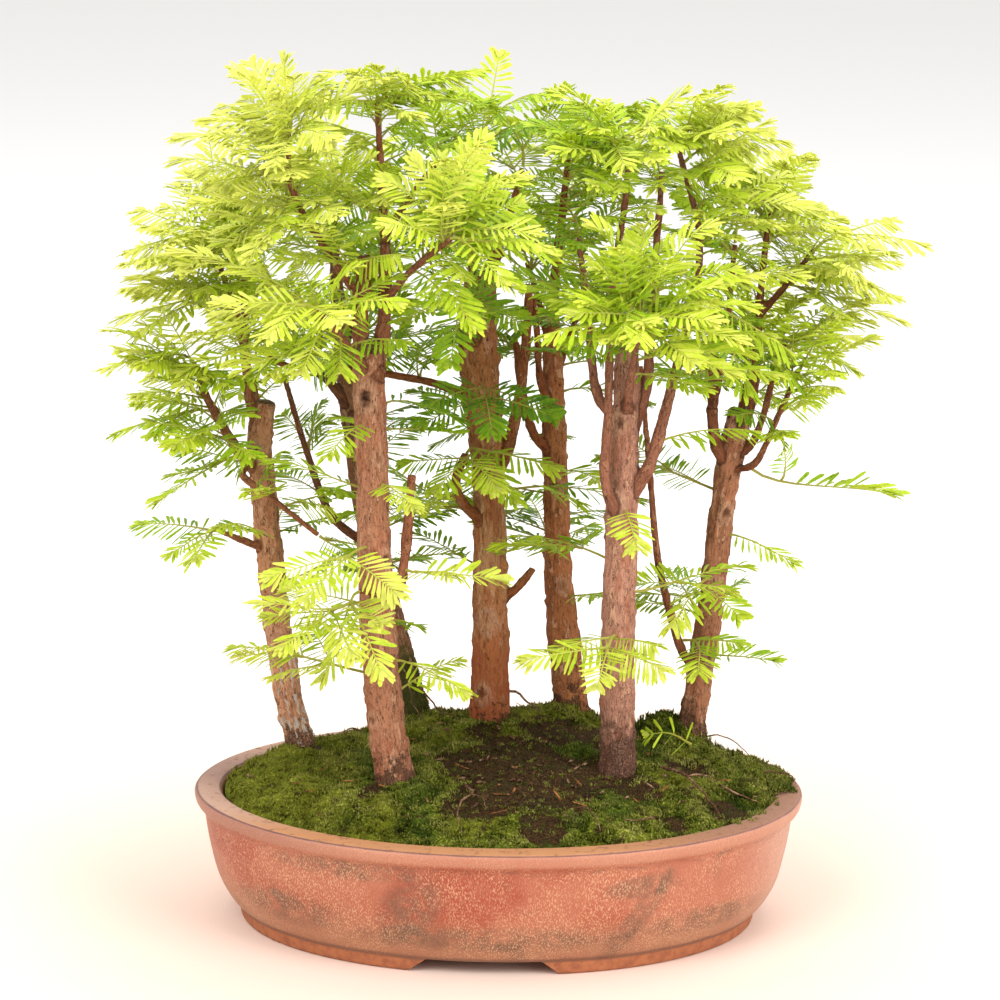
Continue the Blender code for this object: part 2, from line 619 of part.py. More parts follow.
def limb_place(name, share):
    """The point, direction and radius at a share of a limb's length."""
    line, radii = limb_line(name)
    marks = [0.0]
    for here, there in zip(line, line[1:]):
        marks.append(marks[-1] + (there - here).length)
    distance = share * marks[-1]
    k = max(j for j in range(len(line) - 1) if marks[j] <= distance)
    part = (distance - marks[k]) / (marks[k + 1] - marks[k])
    point = line[k].lerp(line[k + 1], part)
    return point, (line[k + 1] - line[k]).normalized(), radii[k] + (radii[k + 1] - radii[k]) * part


def main_frond(limb, share, tip, swing):
    """The frond at a stem's own end, from its seat on the limb."""
    point, along, radius = limb_place(limb, share)
    chord = swung(tip - point, *swing)
    if share >= 1.0:
        root, leaving = point + along * GAP, along
    else:
        leaving = (chord - along * chord.dot(along)).normalized()
        root = point + leaving * (radius + GAP)
    tip = point + chord
    facing = UP + outward(tip, LIMBS[limb][0]) * FACE_TILT
    line = bent_line(root, leaving, tip)
    whole = sum((there - here).length for here, there in zip(line, line[1:]))
    return Frond(line, whole - min(FROND_LENGTH, whole * 0.82), facing)


def forked_frond(main, limb, tip, swing):
    """A second frond that parts from the stem near its root."""
    root, ahead, _, _ = main.at(main.stem_marks[1])
    chord = swung(tip - root, *swing)
    leaving = (ahead + chord.normalized()).normalized()
    line = bent_line(root, leaving, root + chord)
    whole = sum((there - here).length for here, there in zip(line, line[1:]))
    facing = UP + outward(root + chord, LIMBS[limb][0]) * FACE_TILT
    return Frond(line, whole - min(FROND_LENGTH, whole * 0.8), facing)


def side_frond(main, number, swing):
    """A frond that grows beside the stem, left and right by turns."""
    place = len(main.stem_marks) - 2 - number // 2
    start = main.stem_marks[place] if place > 0 else main.bare - SIDE_FROND_SEAT
    root, ahead, side, _ = main.at(start - SIDE_FROND_STAGGER * (number % 2))
    hand = 1.0 if number % 2 else -1.0
    chord = ahead * math.cos(SIDE_FROND_ANGLE) + side * hand * math.sin(SIDE_FROND_ANGLE)
    chord = swung(chord * SIDE_FROND_LENGTH, *swing)
    shares = (0.0, 0.25, 0.5, 0.75, 1.0)
    line = [root + chord * t - UP * SIDE_FROND_DROOP * t * t for t in shares]
    return Frond(line, SIDE_FROND_BARE, main.facing)


def settle(make, taken, skip):
    """The frond at the first swing that leaves it clear of what is taken, or None."""
    for swing in SWINGS:
        frond = make(swing)
        shape = frond.envelope(skip)
        if not any(shape.overlap(other) for other in taken):
            return frond, shape
    return None


def wood_shapes():
    shapes = []
    for tree in TRUNKS:
        line, radii = trunk_line(tree)
        shapes.append(tube_bmesh(line, [r + GAP for r in radii], TRUNK_SIDES))
    for name in LIMBS:
        line, radii = limb_line(name)
        shapes.append(tube_bmesh(line, [r + GAP for r in radii], limb_sides(name)))
    return [BVHTree.FromBMesh(bm) for bm in shapes]


def grow_leafy_stems():
    """Every leafy stem's fronds by name, each bent clear of the wood and the stems before it."""
    taken = wood_shapes()
    stems = {}
    letters = {}
    for limb, share, tips, sides in LEAFY_STEMS:
        letters[limb] = letters.get(limb, 0) + 1
        name = f"spray_{limb}_{letters[limb]}"
        found = settle(lambda swing: main_frond(limb, share, Vector(tips[0]), swing), taken,
                       OWN_LIMB_ROOM)
        if found is None:
            continue
        main = found[0]
        fronds, shapes = [main], [found[1]]
        makers = []
        for tip in tips[1:]:
            makers.append(lambda swing, t=tip: forked_frond(main, limb, Vector(t), swing))
        for number in range(sides):
            makers.append(lambda swing, n=number: side_frond(main, n, swing))
        for make in makers:
            found = settle(make, taken, OWN_STEM_ROOM)
            if found is not None:
                fronds.append(found[0])
                shapes.append(found[1])
        taken += shapes
        stems[name] = fronds
    return stems


RIB_HALF = 0.75
RIB_OVER = 0.85
RIB_UNDER = 0.45
STEM_GAIN = 0.35                # how much stouter the stem is at its root
RIB_TAPER = 0.25                # how much thinner the rib is at its tip
NEEDLE_DROOP = 0.6              # a needle's point lies this far under the rib's middle


def frond_bmesh(frond, pairs):
    """A three-sided rib with flat pointed needles in opposite pairs, root beside root."""
    bm = bmesh.new()

    def corner(distance, across, over):
        point, _, side, up = frond.at(distance)
        return bm.verts.new(point + side * across + up * over)

    rib_end = frond.length - TERMINAL_NEEDLE
    ridge, left, right = [], [], []
    for distance in frond.stem_marks[:-1]:
        stout = 1.0 + STEM_GAIN * (1.0 - distance / frond.bare)
        ridge.append(corner(distance, 0.0, RIB_OVER * stout))
        left.append(corner(distance, -RIB_HALF * stout, -RIB_UNDER * stout))
        right.append(corner(distance, RIB_HALF * stout, -RIB_UNDER * stout))
    bm.faces.new((ridge[0], left[0], right[0]))
    for k in range(len(ridge) - 1):
        bm.faces.new((ridge[k], ridge[k + 1], right[k + 1], right[k]))
        bm.faces.new((ridge[k], left[k], left[k + 1], ridge[k + 1]))
        bm.faces.new((left[k], right[k], right[k + 1], left[k + 1]))
    last_ridge, last_left, last_right = ridge[-1], left[-1], right[-1]
    spacing = (rib_end - frond.bare) / pairs

    def notches(number):
        thin = 1.0 - RIB_TAPER * number / pairs
        distance = frond.bare + spacing * number
        return [corner(distance, hand * RIB_HALF * thin, -RIB_UNDER * thin) for hand in (-1, 1)]

    near = notches(0)
    bm.faces.new((last_left, last_right, near[1], near[0]))
    for k in range(pairs):
        root = frond.bare + spacing * (k + 0.5)
        length = NEEDLE_LENGTH * (0.86 + 0.14 * math.sin(math.pi * (k + 0.7) / pairs))
        forward = length * (0.42 + 0.2 * k / pairs)
        sideways = math.sqrt(length * length - forward * forward)
        crest = corner(root, 0.0, RIB_OVER * (1.0 - RIB_TAPER * k / pairs))
        far = notches(k + 1)
        point, ahead, side, up = frond.at(root)
        reach = point + ahead * forward - up * NEEDLE_DROOP
        for end, hand in enumerate((-1.0, 1.0)):
            tip = bm.verts.new(reach + side * hand * sideways)
            bm.faces.new((crest, near[end], tip))
            bm.faces.new((crest, tip, far[end]))
            bm.faces.new((near[end], far[end], tip))
        if k == 0:
            bm.faces.new((last_ridge, last_left, near[0], crest))
            bm.faces.new((last_ridge, crest, near[1], last_right))
        else:
            bm.faces.new((last_ridge, near[0], crest))
            bm.faces.new((last_ridge, crest, near[1]))
        bm.faces.new((near[0], near[1], far[1], far[0]))
        last_ridge, near = crest, far
    last_left, last_right = near
    tip = bm.verts.new(frond.line[-1])
    bm.faces.new((last_ridge, last_left, tip))
    bm.faces.new((last_ridge, tip, last_right))
    bm.faces.new((last_left, last_right, tip))
    return bm


def make_leafy_stem(name, fronds):
    pieces = []
    for frond in fronds:
        needled = frond.length - TERMINAL_NEEDLE - frond.bare
        pairs = max(3, round(needled / PAIR_SPACING))
        pieces.append(loose(name, frond_bmesh(frond, pairs)))
    stem = pieces[0]
    fuse(stem, pieces[1:])
    return finish(stem, FOLIAGE, 30.0)


make_tray()
for place, drain_x in enumerate(DRAIN_PLACES, start=1):
    make_screen(place, drain_x)
recesses = []
for drain_x in DRAIN_PLACES:
    wide = SCREEN_SIDE + 2.0 * GAP
    tall = SCREEN_THICKNESS + 2.0 * GAP
    recesses.append(box("recess", drain_x, 0.0, FLOOR_TOP + tall / 2.0, wide, wide, tall))
make_soil([trunk_hole(tree) for tree in TRUNKS], recesses)
make_moss([trunk_hole(tree) for tree in TRUNKS])
for number in TRUNKS:
    make_wood(number)
for stem_name, stem_fronds in grow_leafy_stems().items():
    make_leafy_stem(stem_name, stem_fronds)
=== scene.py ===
"""Dawn redwood bonsai forest: the looks of seven trees on a mossed mound in a low oval tray.

Sizes are in millimetres from the middle of the tray's foot ring, x to the right, y to the back
and z up. Each piece is scaled to metres and shifted into the frame as it is finished.
"""
import math
import random

import bmesh
import bpy
import numpy as np
from mathutils import Matrix, Quaternion, Vector, noise
from mathutils.bvhtree import BVHTree
from mathutils.kdtree import KDTree


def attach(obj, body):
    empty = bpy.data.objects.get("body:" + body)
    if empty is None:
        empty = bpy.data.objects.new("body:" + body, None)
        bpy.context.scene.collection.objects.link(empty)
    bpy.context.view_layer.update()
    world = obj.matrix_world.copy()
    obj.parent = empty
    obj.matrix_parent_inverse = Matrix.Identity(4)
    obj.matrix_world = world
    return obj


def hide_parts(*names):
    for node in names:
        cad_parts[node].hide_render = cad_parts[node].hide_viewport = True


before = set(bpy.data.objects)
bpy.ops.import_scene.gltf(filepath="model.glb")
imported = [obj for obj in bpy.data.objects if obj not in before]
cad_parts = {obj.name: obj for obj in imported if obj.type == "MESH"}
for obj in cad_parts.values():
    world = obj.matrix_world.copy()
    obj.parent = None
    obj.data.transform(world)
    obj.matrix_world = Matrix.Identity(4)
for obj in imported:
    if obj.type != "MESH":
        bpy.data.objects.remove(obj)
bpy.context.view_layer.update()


# The view: a long lens a little above the tray, leaning under one degree to the side. The
# tray's middle stands a little left of the frame's origin and in front of it, because the
# crown is not quite centred over the tray.

METRES = 0.001
FOREST_CENTRE = Vector((4.5, 8.0, 0.0))
SIGHT_RISE = math.radians(13.25)
SIGHT_DISTANCE = 1980.0
SIGHT_LEAN = math.radians(0.73)
SIGHT_AIM = Vector((-1.1, 0.0, 210.2))
LENS_ANGLE = math.radians(14.0)
SIGHT_END = 60.0                # metres, past the floor that can be seen

camera = bpy.data.objects.new("camera", bpy.data.cameras.new("camera"))
camera.data.angle = LENS_ANGLE
camera.data.clip_end = SIGHT_END
camera.matrix_world = (
    Matrix.Translation((SIGHT_AIM - FOREST_CENTRE) * METRES)
    @ Matrix.Rotation(math.pi / 2.0 - SIGHT_RISE, 4, "X")
    @ Matrix.Rotation(SIGHT_LEAN, 4, "Z")
    @ Matrix.Translation((0.0, 0.0, SIGHT_DISTANCE * METRES)))
bpy.context.scene.collection.objects.link(camera)
bpy.context.scene.camera = camera


# Tray: one oval stoneware pot, pressed in a mould and trimmed by hand, with a flat rim, a
# rounded lip and a foot ring that is cut away at the front and back. The wall is glazed rust
# red with fine tan flecks and smoky patches, the rim is dry and dusty, the foot is bare clay.

TRAY_TOP = 65.0
FOOT_HEIGHT = 7.0
FLOOR_TOP = 15.5
TRAY_PROFILE = (                # half width, half depth, height, rounding, up the outside
    (113.0, 80.0, FOOT_HEIGHT, 0.6), (114.0, 81.0, 0.0, 1.2), (127.0, 94.0, 0.0, 1.6),
    (128.2, 94.9, 6.6, 0.8), (132.6, 98.1, 11.0, 4.0), (138.6, 102.6, 21.0, 8.0),
    (143.4, 106.1, 39.0, 9.0), (145.3, 107.5, 55.4, 3.0), (149.2, 110.4, 58.6, 3.4),
    (150.0, 111.0, 63.6, 1.5), (148.4, 109.5, TRAY_TOP, 1.1), (137.2, 98.2, TRAY_TOP, 1.3),
    (135.9, 96.9, 63.0, 1.2), (130.0, 92.0, 26.0, 6.0), (124.0, 87.0, 17.5, 2.0),
    (116.0, 80.0, FLOOR_TOP, 3.0))
TRAY_TURNS = 220
FOOT_GAP_MIDDLE = -6.0
FOOT_GAP_AT_FLOOR = 73.0
FOOT_GAP_AT_TOP = 55.0
DRAIN_PLACES = (-62.0, 62.0)
DRAIN_RADIUS = 9.0
WALL_WAVER = 0.004              # of the tray's size, pressed out of true by hand
RIM_FROM, RIM_SAG = 60.0, 0.5
CUT_DEPTH, CUT_BELOW = 260.0, 2.0
EDGE_SOFTNESS = 0.7
SMOKE = (                       # x, height, half width, half height and slope of smoky smears
    (-76.0, 52.0, 36.0, 5.5, -0.05), (-46.0, 34.0, 15.0, 20.0, 0.3), (61.0, 27.0, 7.0, 25.0, 0.7),
    (64.0, 45.0, 18.0, 6.0, 0.5), (-8.0, 20.0, 70.0, 7.0, 0.0), (-104.0, 25.0, 26.0, 9.0, -0.1),
    (96.0, 22.0, 30.0, 7.0, 0.1))


class Shade:
    """A socket in a material's nodes, which stands in a sum as a number does."""

    def __init__(self, tree, socket=None):
        self.tree = tree
        self.socket = socket

    def node(self, kind, settings, sockets, output=0):
        """Adds a node: its settings first, then the values or links of its sockets."""
        added = self.tree.nodes.new(kind)
        for setting, value in settings.items():
            if setting == "stops":
                ramp = added.color_ramp.elements
                ramp[0].position, ramp[0].color = value[0][0], opaque(value[0][1])
                ramp[-1].position, ramp[-1].color = value[-1][0], opaque(value[-1][1])
                for place, colour in value[1:-1]:
                    ramp.new(place).color = opaque(colour)
            else:
                setattr(added, setting, value)
        for socket, value in sockets.items():
            if isinstance(value, Shade):
                self.tree.links.new(value.socket, added.inputs[socket])
            else:
                added.inputs[socket].default_value = value
        return Shade(self.tree, added.outputs[output] if added.outputs else None)

    def maths(self, operation, first, second):
        return self.node("ShaderNodeMath", {"operation": operation}, {0: first, 1: second})

    def __add__(self, other):
        return self.maths("ADD", self, other)

    def __radd__(self, other):
        return self.maths("ADD", other, self)

    def __sub__(self, other):
        return self.maths("SUBTRACT", self, other)

    def __rsub__(self, other):
        return self.maths("SUBTRACT", other, self)

    def __mul__(self, other):
        return self.maths("MULTIPLY", self, other)

    def __rmul__(self, other):
        return self.maths("MULTIPLY", other, self)

    def within(self, low, high):
        """0 below low and 1 above high, with a smooth step between, or the other way round."""
        settings = {"interpolation_type": "SMOOTHSTEP"}
        return self.node("ShaderNodeMapRange", settings, {0: self, 1: low, 2: high})

    def mixed(self, first, second):
        """Two colours mixed by this socket."""
        sockets = {0: self, 6: opaque(first), 7: opaque(second)}
        return self.node("ShaderNodeMix", {"data_type": "RGBA"}, sockets, 2)

    def tinted(self, tint):
        """This colour multiplied by another."""
        settings = {"data_type": "RGBA", "blend_type": "MULTIPLY"}
        return self.node("ShaderNodeMix", settings, {0: 1.0, 6: self, 7: opaque(tint)}, 2)

    def layered(self, *layers):
        """This colour with tints laid over it one by one, each through a mask."""
        colour = self
        for mask, tint in layers:
            colour = mask.mixed(colour, tint)
        return colour

    def ramped(self, *stops):
        """A colour from this value, by places on a ramp and their colours."""
        return self.node("ShaderNodeValToRGB", {"stops": stops}, {0: self})

    def clouds(self, scale, detail=3.0, roughness=0.55):
        """Soft noise at this place, with so many swells to the unit."""
        sockets = {"Vector": self, "Scale": scale, "Detail": detail, "Roughness": roughness}
        return self.node("ShaderNodeTexNoise", {}, sockets)

    def stretched(self, x, y, z):
        """This place with its axes scaled."""
        return self.node("ShaderNodeMapping", {}, {0: self, 3: (x, y, z)})

    def axis(self, number):
        return self.node("ShaderNodeSeparateXYZ", {}, {0: self}, number)

    def named(self, attribute):
        """The vector kept under a name on the piece's own vertices."""
        return self.node("ShaderNodeAttribute", {"attribute_name": attribute}, {}, 1)

    def bumped(self, distance):
        """A normal from this height, which moves by so many metres from 0 to 1."""
        return self.node("ShaderNodeBump", {}, {"Distance": distance, "Height": self})


def opaque(colour):
    """Three numbers as a full colour, or a socket as it is."""
    return colour if isinstance(colour, Shade) else (*colour, 1.0)


def paint(name):
    """A material with no nodes yet, and the place on the piece in millimetres."""
    material = bpy.data.materials.new(name)
    material.use_nodes = True
    material.node_tree.nodes.clear()
    start = Shade(material.node_tree)
    place = start.node("ShaderNodeTexCoord", {}, {}, 3)
    settings = {"operation": "SCALE"}
    return material, place.node("ShaderNodeVectorMath", settings, {0: place, 3: 1.0 / METRES})


def coat(start, sockets):
    """Ends a material in a Principled shader with these sockets."""
    surface = start.node("ShaderNodeBsdfPrincipled", {}, sockets)
    start.node("ShaderNodeOutputMaterial", {}, {"Surface": surface})


def smeared(place):
    """How smoky the wall is: smears listed one by one, broken up by soft noise."""
    x, z = place.axis(0), place.axis(2)
    smoke = place.stretched(1.0, 1.0, 1.5).clouds(0.03, 4.0, 0.6).within(0.58, 0.74)
    for middle, height, half_x, half_z, slope in SMOKE:
        off = (z - height) * (1.0 / half_z)
        across = (x - middle - (z - height) * slope) * (1.0 / half_x)
        smoke = smoke + (across * across + off * off).within(1.5, 0.1)
    return smoke * place.clouds(0.11, 5.0, 0.65).within(0.3, 0.62)


def wall_glaze(place, height, drift, flecks, grains):
    """Rust red and mottled, with smoke, tan flecks, a painted sheen at the right end and a paler
    lip.
    """
    across = place.axis(0)
    veins = place.stretched(1.0, 1.0, 0.5).clouds(0.3, 4.0, 0.6).within(0.4, 0.65)
    dense = place.clouds(0.035, 3.0).within(0.3, 0.6)
    lip = height.within(57.0, 60.0)
    edge_line = (height + 0.5 * drift).within(64.3, 64.65) * height.within(64.98, 64.75)
    under_lip = height.within(53.0, 55.4) * height.within(58.4, 56.0)
    dashes = place.stretched(1.0, 1.0, 3.0).clouds(0.14, 3.0).within(0.52, 0.64)
    rust = place.clouds(0.015, 3.0).within(0.42, 0.58).mixed((0.33, 0.062, 0.03),
                                                             (0.42, 0.135, 0.075))
    return rust.layered(
        (veins * 0.5, (0.36, 0.1, 0.052)),
        (height.within(34.0, 12.0) * 0.8, (0.37, 0.175, 0.092)),            # paler below
        (smeared(place) * 0.8, (0.17, 0.08, 0.045)),                        # smoke
        (across.within(105.0, 152.0) * 0.55, (0.64, 0.45, 0.37)),           # painted sheen, a highlight at the right end
        (flecks * (0.1 + 0.5 * dense), (0.7, 0.41, 0.23)),
        (lip * 0.7, (0.49, 0.215, 0.13)),
        (lip * across.within(-50.0, -130.0) * 0.5, (0.27, 0.12, 0.085)),    # duller at the left
        (lip * grains * 0.45, (0.72, 0.48, 0.33)),
        (edge_line * (0.5 + 0.5 * drift), (0.1, 0.05, 0.06)),
        (under_lip * dashes * 0.4, (0.15, 0.07, 0.05)))


def rim_dust_and_shade(place, drift, grains):
    """The rim's dry top: dusty behind, rusty in front, and darker at the right with painted shade.
    """
    front = place.axis(1).within(-40.0, -95.0)
    dry = (front * 0.85 + drift * 0.2).mixed((0.6, 0.38, 0.3), (0.55, 0.24, 0.1))
    return dry.layered(
        # painted shade: the right side of the rim darkened
        (place.axis(0).within(30.0, 120.0) * 0.85, (0.3, 0.14, 0.09)),
        (grains * 0.35, (0.66, 0.44, 0.3)),
        (place.clouds(0.3, 4.0).within(0.55, 0.68) * 0.55, (0.2, 0.08, 0.035)))


def glaze():
    """Rust-red glaze on the wall, a dry dusty rim, a purple line at its edge and a bare foot."""
    material, place = paint("rust_glaze")
    height = place.axis(2)
    drift = place.clouds(0.09, 4.0)
    flecks = place.stretched(1.0, 1.0, 0.45).clouds(1.8, 2.0, 0.5).within(0.5, 0.62)
    grains = place.clouds(2.6, 1.0).within(0.6, 0.72)
    top = height.within(64.55, 64.9)
    clay = place.clouds(0.22, 4.0).within(0.35, 0.7).mixed((0.42, 0.15, 0.062), (0.3, 0.1, 0.045))
    clay = clay.layered((place.clouds(0.7, 2.0).within(0.66, 0.74) * 0.7, (0.06, 0.03, 0.02)))
    ragged = height + 1.6 * drift
    foot = ragged.within(8.2, 6.6)
    dark_line = ragged.within(6.4, 7.8) * ragged.within(10.4, 8.6)
    colour = wall_glaze(place, height, drift, flecks, grains).layered(
        (top, rim_dust_and_shade(place, drift, grains)), (foot, clay), (dark_line * 0.6, (0.1, 0.045, 0.03)))
    matt = top * 0.4 + foot * 0.42
    pits = flecks * 0.35 + drift * 0.5 + grains * 0.4
    coat(place, {"Base Color": colour, "Roughness": matt + 0.36 + 0.22 * drift,
                 "Normal": pits.bumped(0.00022), "Specular IOR Level": 0.4})
    return material


def rounded(profile, arc_steps=3):
    """The profile's corners turned as short arcs, as points of half width, half depth, height."""
    corners = [Vector(corner[:3]) for corner in profile]
    line = [corners[0]]
    for before, corner, after, row in zip(corners, corners[1:], corners[2:], profile[1:-1]):
        reach = min(row[3], (before - corner).length * 0.48, (after - corner).length * 0.48)
        start = corner + (before - corner).normalized() * reach
        end = corner + (after - corner).normalized() * reach
        for step in range(arc_steps + 1):
            t = step / arc_steps
            line.append(start * (1 - t) ** 2 + corner * 2 * t * (1 - t) + end * t ** 2)
    line.append(corners[-1])
    return line


def piece(name, bm, material, smooth_angle=45.0):
    """Makes a finished object from a bmesh in millimetres, scaled to metres and shifted into the
    frame.
    """
    bmesh.ops.translate(bm, vec=-FOREST_CENTRE, verts=bm.verts)
    bmesh.ops.scale(bm, vec=(METRES,) * 3, verts=bm.verts)
    mesh = bpy.data.meshes.new(name)
    bm.to_mesh(mesh)
    bm.free()
    made = bpy.data.objects.new(name, mesh)
    bpy.context.scene.collection.objects.link(made)
    mesh.materials.append(material)
    mesh.shade_smooth()
    if smooth_angle < 180.0:
        mesh.set_sharp_from_angle(angle=math.radians(smooth_angle))
    return made


def settled(made):
    """Applies a piece's modifiers."""
    graph = bpy.context.evaluated_depsgraph_get()
    mesh = bpy.data.meshes.new_from_object(made.evaluated_get(graph))
    made.modifiers.clear()
    made.data = mesh
    return made


def clamped(value):
    return min(1.0, max(0.0, value))


def uneven(x, y, size, layer):
    """Soft noise from -1 to 1 over the ground, in swells of a size; each layer has its own."""
    return noise.noise(Vector((x / size, y / size, layer)))


def turned_pot():
    """The pot's section spun round to a circle, drawn out to its oval and pressed uneven."""
    bm = bmesh.new()
    depth = bm.verts.layers.float.new("depth")
    verts = []
    for half_x, half_y, z in rounded(TRAY_PROFILE):
        verts.append(bm.verts.new((half_x, 0.0, z)))
        verts[-1][depth] = half_y / half_x
    for end in (0, -1):
        centre = bm.verts.new((0.0, 0.0, verts[end].co.z))
        centre[depth] = 1.0
        bm.edges.new((centre, verts[end]))
    for here, there in zip(verts, verts[1:]):
        bm.edges.new((here, there))
    bmesh.ops.spin(bm, geom=bm.verts[:] + bm.edges[:], cent=(0, 0, 0), axis=(0, 0, 1),
                   angle=2.0 * math.pi, steps=TRAY_TURNS, use_merge=True)
    bmesh.ops.remove_doubles(bm, verts=bm.verts, dist=0.001)
    for vert in bm.verts:
        vert.co.y *= vert[depth]
        by_hand = noise.noise(Vector((vert.co.x / 70.0, vert.co.y / 70.0, vert.co.z / 25.0)))
        outside = clamped((vert.co.xy.length - 60.0) / 30.0)
        vert.co.x *= 1.0 + WALL_WAVER * by_hand * outside
        vert.co.y *= 1.0 + WALL_WAVER * by_hand * outside
        if vert.co.z > RIM_FROM:
            vert.co.z += RIM_SAG * uneven(vert.co.x, vert.co.y, 90.0, 5.0)
    bmesh.ops.recalc_face_normals(bm, faces=bm.faces)
    return bm


def cut_away():
    """What is cut out of the pot: the gap across its foot ring and the drain holes."""
    bm = bmesh.new()
    spread = (FOOT_GAP_AT_FLOOR - FOOT_GAP_AT_TOP) / FOOT_HEIGHT
    for vert in bmesh.ops.create_cube(bm, size=1.0)["verts"]:
        z = -CUT_BELOW if vert.co.z < 0.0 else FOOT_HEIGHT
        width = FOOT_GAP_AT_TOP + spread * (FOOT_HEIGHT - z)
        vert.co = (FOOT_GAP_MIDDLE + vert.co.x * width, vert.co.y * CUT_DEPTH, z)
    for x in DRAIN_PLACES:
        middle = Matrix.Translation((x, 0.0, (FOOT_HEIGHT + FLOOR_TOP) / 2.0))
        bmesh.ops.create_cone(bm, cap_ends=True, segments=36, radius1=DRAIN_RADIUS,
                              radius2=DRAIN_RADIUS, depth=20.0, matrix=middle)
    return bm


def make_tray():
    tray = piece("glazed_tray", turned_pot(), glaze())
    cutter = piece("cutter", cut_away(), tray.data.materials[0])
    cut = tray.modifiers.new("cut", "BOOLEAN")
    cut.operation = "DIFFERENCE"
    cut.object = cutter
    soften = tray.modifiers.new("soften", "BEVEL")
    soften.width = EDGE_SOFTNESS * METRES
    soften.segments = 2
    soften.limit_method = "ANGLE"
    soften.angle_limit = math.radians(60.0)
    settled(tray)
    bpy.data.objects.remove(cutter)
    tray.data.shade_smooth()
    tray.data.set_sharp_from_angle(angle=math.radians(45.0))
    return tray


tray = make_tray()
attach(tray, "root")
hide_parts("tray")


# Drain screens: two squares of moulded green plastic mesh under the soil, over the tray's
# drain holes. They keep their CAD shape and show only through the holes.

def screen_plastic():
    material, place = paint("drain_mesh_plastic")
    worn = place.clouds(0.25, 3.0)
    colour = worn.within(0.35, 0.7).mixed((0.03, 0.13, 0.06), (0.07, 0.2, 0.1))
    coat(place, {"Base Color": colour, "Roughness": 0.35 + 0.3 * worn,
                 "Normal": place.clouds(3.0, 2.0).bumped(0.00008)})
    return material


drain_mesh = screen_plastic()
for number in (1, 2):
    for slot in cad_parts[f"drain_screen_{number}"].material_slots:
        slot.material = drain_mesh


# Soil: dark crumbly bonsai mix, heaped to a mound and pressed in against the wall. It shows
# in a bare patch in front of the middle trees, with crumbs, grit and bits of bark on it.

WALL_X, WALL_Y = 135.2, 96.2
MOUND_FOOT = 62.0
MOUND_RISE = 20.0
MOSS_THICKNESS = 3.2
MOUND_BUMPS = (                 # x, y, rise, spread in x, spread in y
    (10.0, 50.0, 10.0, 38.0, 30.0), (34.0, 70.0, 8.0, 17.0, 14.0), (-43.0, 66.0, 7.0, 16.0, 14.0),
    (88.0, 46.0, 13.0, 15.0, 15.0), (-100.0, 40.0, 4.0, 20.0, 20.0),
    (-50.0, -38.0, 3.5, 16.0, 16.0))
BARE_MIDDLE = Vector((16.0, -30.0, 0.0))
BARE_HALF_X, BARE_HALF_Y = 36.0, 30.0
SOIL_SIDES = ((129.4, 91.4, 26.2), (123.4, 86.4, 19.0), (115.5, 79.5, 17.25))
SOIL_TURNS = 220
SOIL_RINGS = 44
BARE_SHARE = 0.6                # of the rings, those inside the bare patch
CRUMBS = 1500
CRUMB_LIFT = 1.76               # of crumbs on thin moss, past the bare patch's edge
CRUMB_SPREAD = 1.9              # times the bare patch's size
CRUMB_SEED = 5
MOSS_GAPS = (                   # x, y and reach of smaller places where the moss is thin
    (30.0, 24.0, 24.0), (112.0, -42.0, 13.0), (96.0, 2.0, 12.0), (66.0, -36.0, 16.0),
    (-18.0, -66.0, 12.0), (-6.0, 20.0, 12.0), (20.0, -80.0, 14.0), (84.0, -62.0, 9.0),
    (-64.0, -48.0, 9.0), (-96.0, 28.0, 8.0))


def wall_share(x, y, margin=0.0):
    """0 at the tray's middle and 1 at its wall, or at a margin past it, rising as the square."""
    return (x / (WALL_X + margin)) ** 2 + (y / (WALL_Y + margin)) ** 2


def heaped(x, y, heaps):
    """The height of smooth heaps: x, y, rise and spread in x and y of each."""
    return sum(rise * math.exp(-(((x - at_x) / wide) ** 2 + ((y - at_y) / deep) ** 2) / 2.0)
               for at_x, at_y, rise, wide, deep in heaps)


def mound(x, y):
    """Height of the moss over the floor, without its cushions' fine shape."""
    inside = max(0.0, 1.0 - wall_share(x, y))
    height = MOUND_FOOT + MOUND_RISE * inside ** 0.75
    height += heaped(x, y, MOUND_BUMPS) * min(1.0, inside * 4.0)
    cushions = math.sin(x / 7.0) * math.sin(y / 6.0 + x / 19.0)
    return height + 0.9 * cushions * min(1.0, inside * 5.0)


def oval_point(half_x, half_y, turn):
    return Vector((half_x * math.cos(turn), half_y * math.sin(turn), 0.0))


def bare_edge(turn):
    wave = 1.0 + 0.14 * math.sin(3.0 * turn + 1.0) + 0.08 * math.sin(5.0 * turn)
    return BARE_MIDDLE + oval_point(BARE_HALF_X * wave, BARE_HALF_Y * wave, turn)


def bare_share(x, y):
    """0 at the middle of the bare patch, 1 at its edge and more outside."""
    offset = Vector((x, y, 0.0)) - BARE_MIDDLE
    turn = math.atan2(offset.y / BARE_HALF_Y, offset.x / BARE_HALF_X)
    return offset.length / max(0.001, (bare_edge(turn) - BARE_MIDDLE).length)


def moss_cover(x, y):
    """How much moss grows: 1 where it is whole, 0 on bare soil and ragged between."""
    ragged = uneven(x, y, 15.0, 6.0) * 0.7 + uneven(x, y, 4.5, 12.0) * 0.5
    cover = (bare_share(x, y) - 1.3) * 1.7
    for gap_x, gap_y, reach in MOSS_GAPS:
        cover = min(cover, (math.hypot(x - gap_x, y - gap_y) / reach - 0.85) * 1.3)
    return clamped(cover + ragged + 0.5)


def soil_height(x, y):
    """The soil's top: crumbly in the bare patch, and under the moss outside it."""
    covered = clamped((bare_share(x, y) - 1.0) * 8.0)
    lumps = uneven(x, y, 7.0, 3.0) * 1.1 + uneven(x, y, 2.6, 7.0) * 0.8
    lumps += uneven(x, y, 1.3, 9.0) * 0.35
    return mound(x, y) - 1.2 - covered * 2.2 + lumps * (1.0 - 0.7 * covered)


